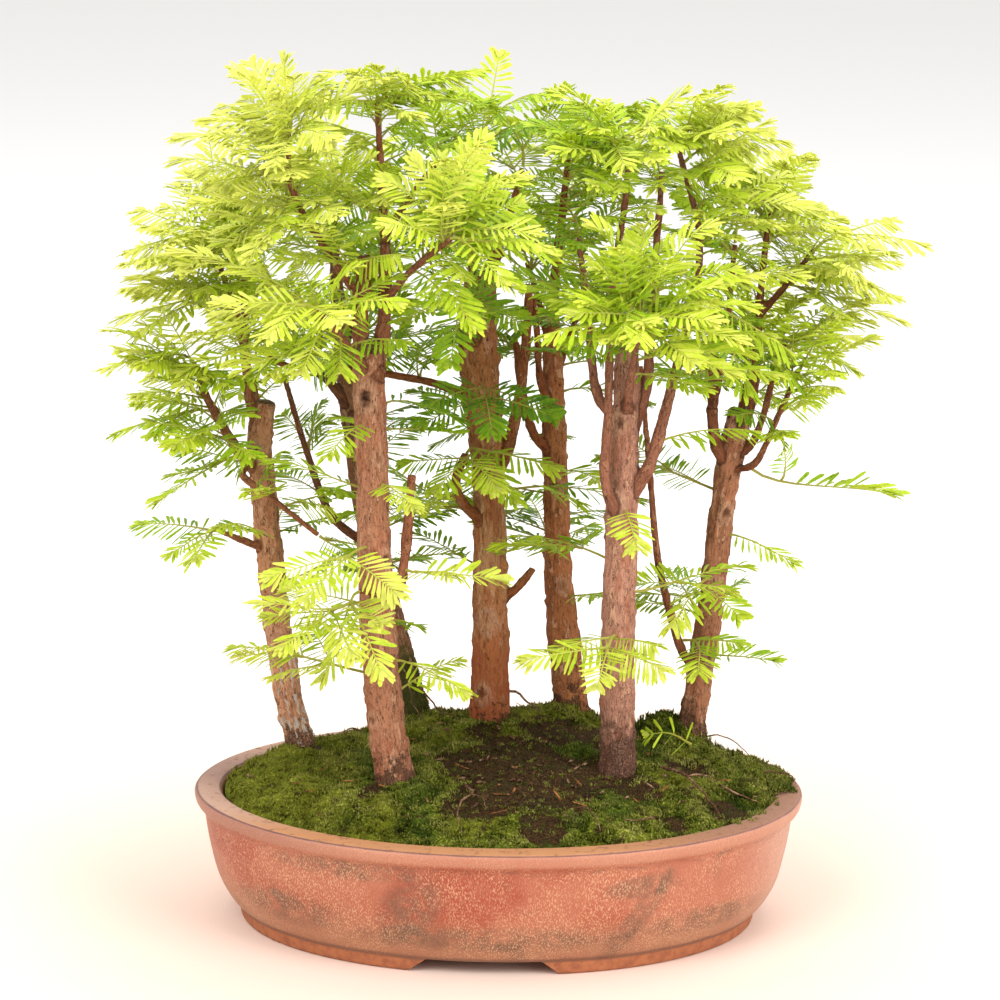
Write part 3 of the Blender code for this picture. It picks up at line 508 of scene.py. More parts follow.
def soil_brown(place):
    """Near-black brown mix with grains in it."""
    mix = place.clouds(0.9, 4.0, 0.7).within(0.38, 0.64).mixed((0.018, 0.009, 0.003),
                                                               (0.1, 0.05, 0.018))
    return mix.layered(
        (place.clouds(0.06, 3.0).within(0.45, 0.62) * 0.5, (0.035, 0.028, 0.008)),
        (place.clouds(1.5, 1.0).within(0.68, 0.74), (0.36, 0.2, 0.09)),             # tan
        (place.clouds(0.8, 1.0).within(0.7, 0.76) * 0.8, (0.24, 0.085, 0.025)),     # rusty
        (place.clouds(0.2, 4.0).within(0.56, 0.66) * 0.6, (0.05, 0.062, 0.006)))    # mossy


def earth():
    """The loose mix: damp in places, and rough."""
    material, place = paint("dark_soil")
    damp = place.clouds(0.06, 3.0)
    grit = place.clouds(0.9, 4.0, 0.7)
    coat(place, {"Base Color": soil_brown(place), "Roughness": 0.95 - 0.25 * damp,
                 "Normal": grit.bumped(0.0012), "Specular IOR Level": 0.15})
    return material


def spread_rings(turns, rings, placed):
    """A grid bent round into a ring: placed gives the place for a turn and a step outwards."""
    bm = bmesh.new()
    bmesh.ops.create_grid(bm, x_segments=turns, y_segments=rings, size=0.5)
    for vert in bm.verts:
        vert.co = placed(2.0 * math.pi * (vert.co.x + 0.5), vert.co.y + 0.5)
    bmesh.ops.remove_doubles(bm, verts=bm.verts, dist=0.01)
    return bm


def drawn_down(bm, edges, placed):
    """Extrudes a loop of edges and puts each new vertex where placed says, from its old place."""
    grown = bmesh.ops.extrude_edge_only(bm, edges=edges)["geom"]
    for item in grown:
        if isinstance(item, bmesh.types.BMVert):
            item.co = placed(item.co)
    return [item for item in grown if isinstance(item, bmesh.types.BMEdge) and item.is_boundary]


def make_soil():
    def placed(turn, step):
        edge = bare_edge(turn)
        if step < BARE_SHARE:
            place = BARE_MIDDLE.lerp(edge, step / BARE_SHARE)
        else:
            wall = oval_point(WALL_X, WALL_Y, turn)
            place = edge.lerp(wall, (step - BARE_SHARE) / (1.0 - BARE_SHARE))
        place.z = soil_height(place.x, place.y)
        return place

    def lowered(half_x, half_y, z):
        def lower(co):
            turn = math.atan2(co.y / WALL_Y, co.x / WALL_X)
            return oval_point(half_x, half_y, turn) + Vector((0.0, 0.0, z))
        return lower

    bm = spread_rings(SOIL_TURNS, SOIL_RINGS, placed)
    edges = [edge for edge in bm.edges if edge.is_boundary]
    for side in SOIL_SIDES:
        edges = drawn_down(bm, edges, lowered(*side))
    bmesh.ops.edgeloop_fill(bm, edges=edges)
    bmesh.ops.recalc_face_normals(bm, faces=bm.faces)
    return piece("soil_mound", bm, dark_soil)


def plant(bm, template, matrix):
    """Adds a copy of a small mesh, placed by a matrix."""
    copy = template.copy()
    copy.transform(matrix)
    bm.from_mesh(copy)
    bpy.data.meshes.remove(copy)


def small_mesh(name, bm):
    mesh = bpy.data.meshes.new(name)
    bm.to_mesh(mesh)
    bm.free()
    return mesh


def lump(name, chance):
    """A rough crumb about 1 mm across."""
    bm = bmesh.new()
    bmesh.ops.create_icosphere(bm, subdivisions=1, radius=0.5)
    for vert in bm.verts:
        vert.co *= chance.uniform(0.7, 1.25)
    return small_mesh(name, bm)


def tumbled(place, size, chance):
    """A matrix that turns a crumb any way and sizes it."""
    turn = Quaternion([chance.gauss(0, 1) for _ in range(4)]).normalized().to_matrix().to_4x4()
    scale = Matrix.Diagonal((size, size * chance.uniform(0.7, 1.0), size, 1.0))
    return Matrix.Translation(place) @ turn @ scale


def make_crumbs():
    """Loose crumbs and grit wherever the moss leaves the soil bare."""
    chance = random.Random(CRUMB_SEED)
    shapes = [lump(f"crumb_{k}", chance) for k in range(4)]
    bm = bmesh.new()
    made = 0
    while made < CRUMBS:
        turn = chance.uniform(0.0, 2.0 * math.pi)
        share = math.sqrt(chance.random()) * CRUMB_SPREAD
        place = BARE_MIDDLE.lerp(bare_edge(turn), share)
        inside = wall_share(place.x, place.y) < 0.93
        if inside and chance.random() >= moss_cover(place.x, place.y):
            size = 0.5 + 1.9 * chance.random() ** 3
            lift = CRUMB_LIFT if share > 1.0 else 0.0
            place.z = soil_height(place.x, place.y) + size * 0.12 + lift
            plant(bm, chance.choice(shapes), tumbled(place, size, chance))
            made += 1
    return piece("soil_crumbs", bm, dark_soil, 30.0)


dark_soil = earth()
soil = make_soil()
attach(soil, "root")
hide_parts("soil")
crumbs = make_crumbs()
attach(crumbs, "root")


# Moss: a living carpet laid over the soil in cushions, deep green in its creases and
# yellow-green on its crests, its own tones along with painted shade and light, with thousands
# of small upright shoots. It thins out towards the bare patch and climbs the feet of some trunks.

MOSS_TURNS = 340
MOSS_RINGS = 46
CUSHION_WIDE = 14.5
CUSHION_SMALL = 4.6
TUFT_SHOOTS = 26
SHOOT_POINTS = 4                # a three-sided shoot's corners and its tip
TUFT_RADIUS = 3.0
TUFT_SPACING = 4.7
TUFT_SHARE = 0.36               # of the tufts, those that stand even where the moss is thin
WALL_MARGIN = 1.5
SPILL_FROM = 112.0              # past this x the moss creeps onto the rim
SPILL_MARGIN = 4.5
SPILL_TUFTS = 150
SPILL_REACH = 14.0
HEAPS = (                       # on the cushions: x, y, rise, spread in x, spread in y
    (84.0, 42.0, 6.5, 9.5, 9.5), (124.0, 22.0, 5.5, 17.0, 17.0), (-121.0, 8.0, 2.5, 15.0, 15.0))
MOSSY_TRUNK = ([Vector((-42, 65, 80)), Vector((-44, 65, 90)), Vector((-48, 64.5, 106)),
                Vector((-52, 64, 122))], (7.4, 6.6, 6.0, 5.6))
MOSSY_TRUNK_TUFTS = 60
MOSS_SEED = 11


def cushion_swell(x, y):
    """From about -1 in a crease to 1 on a crest."""
    bend = uneven(x, y, 17.0, 2.0) * 4.0
    wide = noise.voronoi(Vector(((x + bend) / CUSHION_WIDE, (y - bend) / CUSHION_WIDE, 0.0)))[0][0]
    small = noise.voronoi(Vector((x / CUSHION_SMALL, y / CUSHION_SMALL, 4.0)))[0][0]
    return 1.0 - 1.5 * wide * wide - 0.9 * small * small


def moss_height(x, y):
    """The fine carpet's top: cushions where it is whole, crumbly and low where it is thin."""
    inside = max(0.0, 1.0 - wall_share(x, y))
    edge = clamped((bare_share(x, y) - 1.0) * 5.0)
    cover = moss_cover(x, y)
    rough = uneven(x, y, 3.0, 1.0) * 0.4 + uneven(x, y, 1.8, 5.0) * 0.5 * (1.0 - cover)
    swell = (2.6 * cushion_swell(x, y) - 0.5) * cover + rough - 0.9 * (1.0 - cover)
    swell = swell * (0.35 + 0.65 * edge) * min(1.0, inside * 9.0)
    return mound(x, y) - 1.2 * (1.0 - edge) + swell + heaped(x, y, HEAPS)


def moss_green():
    """Green by how high it stands, with painted shade in the creases and painted light on crests
    and tips: the moss attribute holds crest, tip and chance, and the bare attribute how far the
    soil shows through."""
    material, place = paint("cushion_moss")
    kept = place.named("moss")
    crest, tip, chance = kept.axis(0), kept.axis(1), kept.axis(2)
    patches = place.clouds(0.03, 3.0)
    mottle = place.clouds(0.42, 4.0, 0.7)
    fine = place.clouds(0.95, 3.0, 0.65).within(0.36, 0.64)
    left_edge = place.axis(0).within(-60.0, -125.0) * tip.within(-0.6, 0.8)
    bare = place.named("bare").axis(0) + (place.clouds(0.7, 3.0) - 0.5) * 0.6
    # painted shade and light: low creases darker, crests and shoot tips lighter, with the moss's
    # own tones
    level = crest * 0.52 + tip * 0.34 + mottle * 0.42 + fine * 0.28 + chance * 0.28 - 0.21
    green = level.ramped(
        (0.15, (0.008, 0.007, 0.001)), (0.38, (0.028, 0.034, 0.002)), (0.56, (0.085, 0.11, 0.006)),
        (0.74, (0.22, 0.24, 0.02)), (1.0, (0.55, 0.52, 0.14)))
    colour = green.layered(
        (patches.within(0.5, 0.62) * 0.5, (0.035, 0.085, 0.006)),
        (patches.within(0.45, 0.34) * 0.5, (0.24, 0.25, 0.016)),
        (left_edge * 0.8, (0.38, 0.39, 0.035)),
        (place.clouds(0.12, 4.0).within(0.58, 0.68) * 0.75, (0.07, 0.042, 0.012)),   # withered
        (bare.within(0.3, 0.6), soil_brown(place)))
    coat(place, {"Base Color": colour, "Roughness": 0.9, "Specular IOR Level": 0.12,
                 "Normal": (fine * 0.6 + mottle * 0.4).bumped(0.0012)})
    return material


def make_carpet():
    def placed(turn, step):
        edge = bare_edge(turn)
        inwards = 3.0 * uneven(edge.x, edge.y, 6.0, 8.0)
        place = edge.lerp(oval_point(WALL_X, WALL_Y, turn), step)
        place += (edge - BARE_MIDDLE).normalized() * inwards * (1.0 - step)
        place.z = moss_height(place.x, place.y)
        return place

    def under(co):
        return Vector((co.x, co.y, mound(co.x, co.y) - MOSS_THICKNESS + 0.35))

    bm = spread_rings(MOSS_TURNS, MOSS_RINGS, placed)
    kept = bm.verts.layers.float_vector.new("moss")
    bare = bm.verts.layers.float_vector.new("bare")
    for vert in bm.verts:
        vert[kept] = (cushion_swell(vert.co.x, vert.co.y) * 0.5 + 0.5, 0.0, 0.5)
        vert[bare] = (1.0 - moss_cover(vert.co.x, vert.co.y), 0.0, 0.0)
    edges = drawn_down(bm, [edge for edge in bm.edges if edge.is_boundary], under)
    bridge = bmesh.ops.bridge_loops(bm, edges=edges)["edges"]
    for item in bmesh.ops.subdivide_edges(bm, edges=bridge, cuts=3)["geom_inner"]:
        if isinstance(item, bmesh.types.BMVert):
            item.co = under(item.co)
    bmesh.ops.recalc_face_normals(bm, faces=bm.faces)
    return piece("moss_carpet", bm, moss_material, 180.0)


def tuft(name, chance):
    """A round tuft of thin pointed shoots."""
    bm = bmesh.new()
    kept = bm.verts.layers.float_vector.new("moss")
    for _ in range(TUFT_SHOOTS):
        turn = chance.uniform(0.0, 2.0 * math.pi)
        out = TUFT_RADIUS * math.sqrt(chance.random())
        tall = chance.uniform(1.1, 2.3)
        lean = Matrix.Rotation(chance.gauss(0.0, 0.32), 4, "X")
        lean = lean @ Matrix.Rotation(chance.gauss(0.0, 0.32), 4, "Y")
        foot = Matrix.Translation((out * math.cos(turn), out * math.sin(turn), -0.5))
        rise = Matrix.Translation((0.0, 0.0, tall / 2.0))
        shoot = bmesh.ops.create_cone(bm, cap_ends=True, segments=SHOOT_POINTS - 1, radius1=0.42,
                                      radius2=0.0, depth=tall, matrix=foot @ lean @ rise)["verts"]
        mark = chance.random()
        peak = max(shoot, key=lambda vert: vert.co.z)
        for vert in shoot:
            vert[kept] = (0.5, 1.0 if vert == peak else 0.0, mark)
    return small_mesh(name, bm)


def places_and_marks(mesh, name):
    """A mesh's places, and the vectors kept under a name, with a row for each vertex."""
    places = np.empty(len(mesh.vertices) * 3, np.float32)
    mesh.vertices.foreach_get("co", places)
    marks = np.empty(len(mesh.vertices) * 3, np.float32)
    mesh.attributes[name].data.foreach_get("vector", marks)
    return places.reshape(-1, 3), marks.reshape(-1, 3)


def put_back(mesh, name, places, marks):
    mesh.vertices.foreach_set("co", places.astype(np.float32).ravel())
    mesh.attributes[name].data.foreach_set("vector", marks.ravel())


def tuft_places(chance):
    """Jittered places on a grid, dense where the moss is whole and sparse where it is bare."""
    for row in range(int(WALL_Y * 2.0 / TUFT_SPACING) + 1):
        for column in range(int(WALL_X * 2.0 / TUFT_SPACING) + 1):
            x = -WALL_X + (column + 0.5 * (row % 2) + chance.uniform(-0.4, 0.4)) * TUFT_SPACING
            y = -WALL_Y + (row + chance.uniform(-0.4, 0.4)) * TUFT_SPACING
            lucky = chance.random()
            margin = SPILL_MARGIN if x > SPILL_FROM else -WALL_MARGIN
            if wall_share(x, y, margin) <= 1.0 and lucky <= max(TUFT_SHARE, moss_cover(x, y) * 1.3):
                yield x, y


def stand_tuft(bm, template, x, y, chance):
    """Adds a tuft, turned and sized, with the foot of each of its shoots on the ground."""
    shape = template.copy()
    places, marks = places_and_marks(shape, "moss")
    cover = moss_cover(x, y)
    swell = cushion_swell(x, y) * 0.5 + 0.5
    tall = (0.6 + 0.6 * swell) * (0.75 + 0.25 * cover)
    turn = chance.uniform(0.0, 2.0 * math.pi)
    wide = chance.uniform(0.9, 1.15) * min(1.0, 0.55 + cover)
    across = (places[:, 0] * math.cos(turn) - places[:, 1] * math.sin(turn)) * wide + x
    along = (places[:, 0] * math.sin(turn) + places[:, 1] * math.cos(turn)) * wide + y
    ground = moss_height if bare_share(x, y) > 1.04 else soil_height
    lowest = TRAY_TOP + 0.3 if wall_share(x, y) > 0.985 else 0.0
    for k in range(0, len(places), SHOOT_POINTS):
        base = max(lowest, ground(float(across[k]), float(along[k])))
        places[k:k + SHOOT_POINTS, 2] = places[k:k + SHOOT_POINTS, 2] * tall + base
    places[:, 0] = across
    places[:, 1] = along
    marks[:, 0] = swell
    put_back(shape, "moss", places, marks)
    bm.from_mesh(shape)
    bpy.data.meshes.remove(shape)


def spill_tufts(bm, shapes, chance):
    """Tufts that creep over the rim at the right."""
    for _ in range(SPILL_TUFTS):
        turn = math.radians(chance.triangular(-6.0, 42.0, 10.0))
        out = chance.triangular(0.0, 1.0, 0.4)
        place = oval_point(WALL_X - 2.0 + SPILL_REACH * out, WALL_Y - 2.0 + SPILL_REACH * out, turn)
        place.z = TRAY_TOP + 1.0 + 3.5 * (1.0 - out) ** 2
        plant(bm, chance.choice(shapes), Matrix.Translation(place))


def trunk_tufts(bm, shapes, chance):
    """Tufts that climb the third tree's foot."""
    line, radii = MOSSY_TRUNK
    for _ in range(MOSSY_TRUNK_TUFTS):
        k = chance.randrange(len(line) - 1)
        turn = chance.uniform(0.0, 2.0 * math.pi)
        out = Vector((math.cos(turn), math.sin(turn), 0.5)).normalized()
        place = line[k].lerp(line[k + 1], chance.random()) + out * (radii[k] - 0.4)
        turned = out.to_track_quat("Z", "X").to_matrix().to_4x4()
        plant(bm, chance.choice(shapes), Matrix.Translation(place) @ turned @ Matrix.Scale(0.8, 4))


def make_moss_shoots():
    """Tufts all over the carpet, over the rim at the right and up the third tree's foot."""
    chance = random.Random(MOSS_SEED)
    shapes = [tuft(f"tuft_{k}", chance) for k in range(6)]
    bm = bmesh.new()
    bm.verts.layers.float_vector.new("moss")
    for x, y in tuft_places(chance):
        stand_tuft(bm, chance.choice(shapes), x, y, chance)
    spill_tufts(bm, shapes, chance)
    trunk_tufts(bm, shapes, chance)
    return piece("moss_shoots", bm, moss_material, 180.0)


moss_material = moss_green()
carpet = make_carpet()
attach(carpet, "root")
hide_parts("moss")
shoots = make_moss_shoots()
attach(shoots, "root")


# Trees: seven living trunks, cut back at the top and regrown as leaders and limbs. The bark is
# red-brown and fibrous, peeling in fine upright strips, darker on the limbs, with pale lichen
# on the first tree and moss round the feet.

UP = Vector((0.0, 0.0, 1.0))
FRONT = Vector((0.0, -1.0, 0.0))
GAP = 0.35
TRUNKS = {
    1: ((-98, 40, 65, 8.6), (-100, 40, 75, 7.2), (-106, 40, 98, 6.8), (-113, 38, 150, 6.4),
        (-118, 38, 200, 6.2), (-120, 38, 230, 6.0), (-117, 38, 250, 5.2)),
    2: ((-49, -36, 70, 10.6), (-51, -36, 82, 9.2), (-56, -36, 118, 9.0), (-60, -36, 172, 8.2),
        (-62, -36, 232, 7.5), (-64, -36, 274, 7.8), (-64, -36, 291, 7.0)),
    3: ((-41, 65, 76, 8.6), (-44, 65, 90, 6.8), (-52, 64, 122, 5.8), (-66, 62, 176, 5.2),
        (-76, 62, 235, 4.9), (-81, 62, 276, 4.0), (-84, 62, 310, 2.9), (-85, 62, 344, 1.4)),
    4: ((-5, 42, 77, 11.4), (-5, 42, 88, 9.9), (-5, 42, 126, 9.1), (-6, 42, 185, 8.1),
        (-7, 42, 218, 7.8), (-10, 42, 246, 8.9), (-13, 42, 280, 9.3), (-12, 42, 315, 7.6)),
    5: ((38, 68, 79, 9.8), (36, 68, 91, 8.4), (32, 68, 124, 7.8), (28, 68, 171, 6.4),
        (26, 68, 225, 5.9), (24, 68, 269, 5.1), (23, 68, 292, 3.8)),
    6: ((58, -13, 70, 10.6), (58, -13, 82, 9.0), (57, -13, 136, 8.3), (58, -13, 197, 7.8),
        (58, -13, 232, 7.2), (59, -13, 270, 5.9), (59, -13, 290, 5.3)),
    7: ((94, 42, 73, 8.6), (97, 42, 88, 6.8), (100, 42, 112, 6.4), (105, 42, 148, 6.2),
        (109, 42, 196, 6.0), (113, 42, 224, 6.4), (117, 42, 248, 5.6)),
}
LIMBS = {
    "1_snag": (1, ((-121, 38, 215), (-129, 34, 223), (-145, 26, 253), (-150, 22, 270)), 3.4, 1.6),
    "1_leader": (1, ((-121, 38, 232), (-126, 33, 260), (-127, 34, 291), (-128, 36, 311)), 3.0, 1.5),
    "1_high": (1, ((-126, 33, 279), (-133, 27, 302), (-142, 20, 330)), 2.1, 1.2),
    "1_cross": (1, ((-120, 38, 221), (-128, 25, 216), (-116, 20, 207), (-90, 18, 187)), 2.1, 1.2),
    "1_low": (1, ((-116, 38, 174), (-127, 28, 181), (-138, 22, 187)), 2.3, 1.4),
    "1_back": (1, ((-120, 40, 228), (-123, 58, 246), (-135, 92, 277)), 2.6, 1.2),
    "2_snag": (2, ((-65, -36, 282), (-68, -37, 300), (-66, -38, 336)), 4.4, 3.4),
    "2_leader": (2, ((-62, -36, 280), (-57, -34, 304), (-57, -34, 345), (-61, -34, 409)), 4.8, 1.2),
    "2_stub": (2, ((-58, -37, 163), (-48, -38, 179), (-43, -38, 231)), 3.0, 2.0),
    "2_front": (2, ((-65, -38, 279), (-71, -54, 294), (-87, -88, 320)), 2.4, 1.2),
    "2_left": (2, ((-67, -38, 314), (-84, -50, 341), (-99, -58, 370), (-101, -58, 398)), 2.3, 1.2),
    "2_right": (2, ((-57, -34, 314), (-43, -60, 334), (-25, -92, 354)), 2.2, 1.2),
    "2_inner": (2, ((-57, -34, 344), (-46, -14, 360), (-29, 8, 380)), 2.0, 1.2),
    "2_low": (2, ((-58, -38, 166), (-62, -50, 176), (-67, -60, 179)), 2.0, 1.3),
    "3_left": (3, ((-76, 62, 240), (-86, 55, 256), (-96, 50, 265), (-102, 46, 279)), 3.2, 1.5),
    "3_thin": (3, ((-66, 62, 170), (-86, 56, 189), (-98, 54, 222), (-109, 52, 260)), 2.3, 1.3),
    "3_back": (3, ((-76, 64, 229), (-77, 84, 249), (-80, 104, 268)), 2.6, 1.3),
    "3_rear": (3, ((-81, 62, 270), (-73, 80, 287), (-65, 98, 304)), 2.3, 1.2),
    "4_right": (4, ((-7, 42, 206), (2, 40, 226), (8, 40, 255), (11, 42, 285), (12, 44, 309)),
                3.8, 1.9),
    "4_sweep": (4, ((-14, 42, 250), (-36, 40, 260), (-81, 28, 269), (-106, 18, 272),
                    (-121, 14, 282)), 2.5, 1.2),
    "4_stub": (4, ((-7, 40, 186), (-20, 32, 202), (-23, 31, 213), (-18, 31, 226)), 3.0, 2.0),
    "4_knob": (4, ((-3, 42, 147), (8, 40, 156), (16, 40, 166)), 3.2, 1.7),
    "4_leader": (4, ((-13, 41, 303), (-18, 33, 336), (-15, 30, 366), (-12, 29, 384)), 3.2, 1.3),
    "4_second": (4, ((-10, 44, 303), (0, 55, 335), (8, 62, 364)), 3.0, 1.3),
    "4_front": (4, ((-13, 38, 279), (-16, 14, 297), (-19, -8, 312)), 2.5, 1.3),
    "4_rear": (4, ((-12, 46, 288), (-9, 74, 303), (-7, 98, 316)), 2.5, 1.3),
    "5_left": (5, ((26, 67, 217), (15, 61, 231), (8, 60, 258), (6, 62, 277)), 2.8, 1.5),
    "5_hug": (5, ((25, 66, 237), (18, 57, 260), (16, 56, 284), (14, 58, 300)), 2.5, 1.4),
    "5_leader": (5, ((23, 68, 282), (25, 70, 309), (30, 74, 360), (32, 74, 381)), 3.6, 1.2),
    "5_rear": (5, ((25, 69, 252), (31, 88, 270), (39, 106, 287)), 2.5, 1.3),
    "5_rear2": (5, ((23, 70, 274), (17, 94, 292), (11, 114, 308)), 2.3, 1.2),
    "6_front": (6, ((57, -14, 203), (49, -26, 228), (50, -26, 262), (51, -24, 320), (56, -26, 360),
                    (57, -26, 383)), 3.0, 1.3),
    "6_left": (6, ((57, -13, 250), (45, -11, 266), (40, -8, 300), (35, -8, 342)), 2.8, 1.4),
    "6_right": (6, ((59, -13, 240), (68, -12, 266), (70, -12, 303), (74, -8, 374)), 3.2, 1.4),
    "6_fork": (6, ((59, -13, 213), (71, -18, 234), (80, -16, 269), (93, -10, 321)), 3.8, 1.9),
    "6_fork_top": (6, ((92, -10, 316), (92, -12, 345), (85, -16, 372), (80, -18, 390)), 2.1, 1.2),
    "6_fwd": (6, ((59, -16, 259), (60, -38, 279), (63, -78, 314)), 2.4, 1.2),
    "6_back": (6, ((59, -11, 265), (63, 14, 283), (67, 34, 299)), 2.4, 1.2),
    "7_snag": (7, ((113, 42, 217), (105, 37, 232), (102, 36, 261), (102, 36, 278)), 3.2, 2.4),
    "7_inner": (7, ((103, 36, 252), (108, 34, 280), (112, 34, 332)), 2.3, 1.2),
    "7_right": (7, ((116, 42, 234), (123, 40, 256), (125, 40, 301), (129, 44, 347)), 3.2, 1.3),
    "7_thin": (7, ((113, 42, 221), (125, 36, 236), (134, 36, 273), (138, 36, 283)), 2.2, 1.3),
    "7_green": (7, ((113, 41, 217), (125, 31, 224), (135, 26, 249), (144, 22, 272)), 2.0, 1.2),
    "7_low": (7, ((101, 42, 113), (90, 33, 128), (78, 28, 172), (73, 30, 214), (67, 36, 271)),
              2.5, 1.2),
    "7_back": (7, ((116, 44, 233), (120, 66, 249), (125, 86, 264)), 2.5, 1.2),
    "7_reach": (7, ((125, 40, 296), (137, 36, 311), (150, 30, 330)), 1.9, 1.2),
}
TRUNK_SIDES = 8
TRUNK_SPACING = 30.0
LIMB_SPACING = 27.0
STOUT_LIMB = 2.6
FINE_SPACING = 3.0
BARK_VOXEL = 1.2
COLLAR_REACH = 5.0              # a limb swells over this length where it leaves the wood
TRUE_FROM, TRUE_OVER = 7.0, 6.0     # past its collar a limb is brought back to its own radius
GRAIN_STRETCH = 0.13            # how fast the grain's pattern runs along the wood
UNSAWN_TREE = 3                 # its top runs out as a leader
RED_TREE = 4
MOSSY_TREE = 3
BARK_TONES = {                  # bark in light and in shadow, lichen's height, damp foot's height
    1: ((0.6, 0.29, 0.15), (0.25, 0.105, 0.052), 75.0, 12.0),
    2: ((0.5, 0.22, 0.12), (0.19, 0.072, 0.036), 0.0, 12.0),
    3: ((0.32, 0.155, 0.08), (0.12, 0.05, 0.022), 0.0, 34.0),
    4: ((0.48, 0.205, 0.075), (0.2, 0.062, 0.02), 0.0, 3.0),
    5: ((0.46, 0.175, 0.065), (0.19, 0.062, 0.021), 0.0, 10.0),
    6: ((0.51, 0.25, 0.165), (0.24, 0.097, 0.062), 0.0, 34.0),
    7: ((0.41, 0.175, 0.088), (0.16, 0.062, 0.03), 0.0, 18.0),
}
SCARS = {                       # height, degrees round from the front, radius, depth of the hole
    1: ((135, -50, 3.2, 0.0), (224, -20, 3.6, 1.2), (156, 15, 2.6, 0.5)),
    2: ((269, -12, 4.8, 1.6), (189, 50, 3.6, 0.8), (238, 28, 2.6, 0.4), (112, -40, 2.6, 0.4)),
    3: ((176, -20, 2.8, 0.8), (235, 10, 2.6, 0.8)),
    4: ((214, -15, 4.0, 0.9), (141, -10, 4.6, 0.0), (104, -25, 3.6, 0.6), (236, 30, 3.0, 0.5)),
    5: ((204, -5, 3.2, 0.7), (151, 10, 2.8, 0.4), (118, -30, 2.8, 0.4)),
    6: ((212, -25, 4.0, 0.3), (253, -30, 3.4, 0.6), (128, -38, 3.0, 0.4)),
    7: ((241, 5, 4.6, 2.0), (196, 22, 3.4, 0.8), (159, 5, 2.8, 0.0), (123, 30, 3.0, 0.6)),
}


def curve_through(points, spacing):
    """Points about spacing apart on a smooth curve through the points given."""
    line = [Vector(p) for p in points]
    ends = [line[0] * 2.0 - line[1]] + line + [line[-1] * 2.0 - line[-2]]
    smooth = []
    for k in range(1, len(ends) - 2):
        before, here, there, after = ends[k - 1:k + 3]
        steps = max(1, round((there - here).length / spacing))
        for step in range(steps):
            t = step / steps
            bend = (2.0 * before - 5.0 * here + 4.0 * there - after) * t * t
            twist = (3.0 * here - before - 3.0 * there + after) * t * t * t
            smooth.append(0.5 * (2.0 * here + (there - before) * t + bend + twist))
    smooth.append(line[-1].copy())
    return smooth


def sleeve(bm, rings):
    """A closed sleeve: a face on the first ring, extruded on from ring to ring."""
    tip = bm.faces.new([bm.verts.new(place) for place in rings[0]])
    for number, ring in enumerate(rings[1:]):
        grown = bmesh.ops.extrude_face_region(bm, geom=[tip])["geom"]
        if number:
            bmesh.ops.delete(bm, geom=[tip], context="FACES_ONLY")
        tip = next(item for item in grown if isinstance(item, bmesh.types.BMFace))
        for vert, place in zip(tip.verts, ring):
            vert.co = place


def heading(line, k):
    """The direction of a line at one of its points."""
    return (line[min(k + 1, len(line) - 1)] - line[max(k - 1, 0)]).normalized()


def marks_along(line):
    """How far along a line each of its points lies."""
    marks = [0.0]
    for here, there in zip(line, line[1:]):
        marks.append(marks[-1] + (there - here).length)
    return marks


def ring_turns(sides):
    return [2.0 * math.pi * (side + 0.5) / sides for side in range(sides)]


def round_rings(line, radii, sides):
    """Rings of places round a line, each turned on from the one before without a twist."""
    across = heading(line, 0).cross(FRONT).normalized()
    rings = []
    for k, point in enumerate(line):
        ahead = heading(line, k)
        across = (across - ahead * across.dot(ahead)).normalized()
        over = ahead.cross(across)
        rings.append([point + (across * math.cos(turn) + over * math.sin(turn)) * radii[k]
                      for turn in ring_turns(sides)])
    return rings


def trunk_line(tree, spacing=TRUNK_SPACING):
    """The smooth line of a trunk and its radii."""
    places = curve_through(TRUNKS[tree], spacing)
    return [place.xyz for place in places], [place.w for place in places]


def limb_line(name, spacing=LIMB_SPACING):
    _, points, root_radius, end_radius = LIMBS[name]
    line = curve_through(points, spacing)
    last = len(line) - 1
    return line, [root_radius + (end_radius - root_radius) * k / last for k in range(last + 1)]


def swollen(line, radii):
    """A limb's radii with a collar at its root and small knuckles along it."""
    last = len(radii) - 1
    found = []
    for k, mark in enumerate(marks_along(line)):
        radius = radii[0] + (radii[-1] - radii[0]) * (k / last) ** 0.6
        knuckle = 0.12 * noise.noise(line[k] / 6.0)
        found.append(radius * (1.0 + 0.5 * math.exp(-mark / COLLAR_REACH) + knuckle))
    return found


def wood_tubes(tree):
    """The fine line, radii and slimness of a tree's trunk and of each of its limbs."""
    tubes = [(*trunk_line(tree, FINE_SPACING), 0.0)]
    for name in LIMBS:
        if LIMBS[name][0] == tree:
            line, radii = limb_line(name, FINE_SPACING)
            tubes.append((line, swollen(line, radii), 1.0))
    return tubes


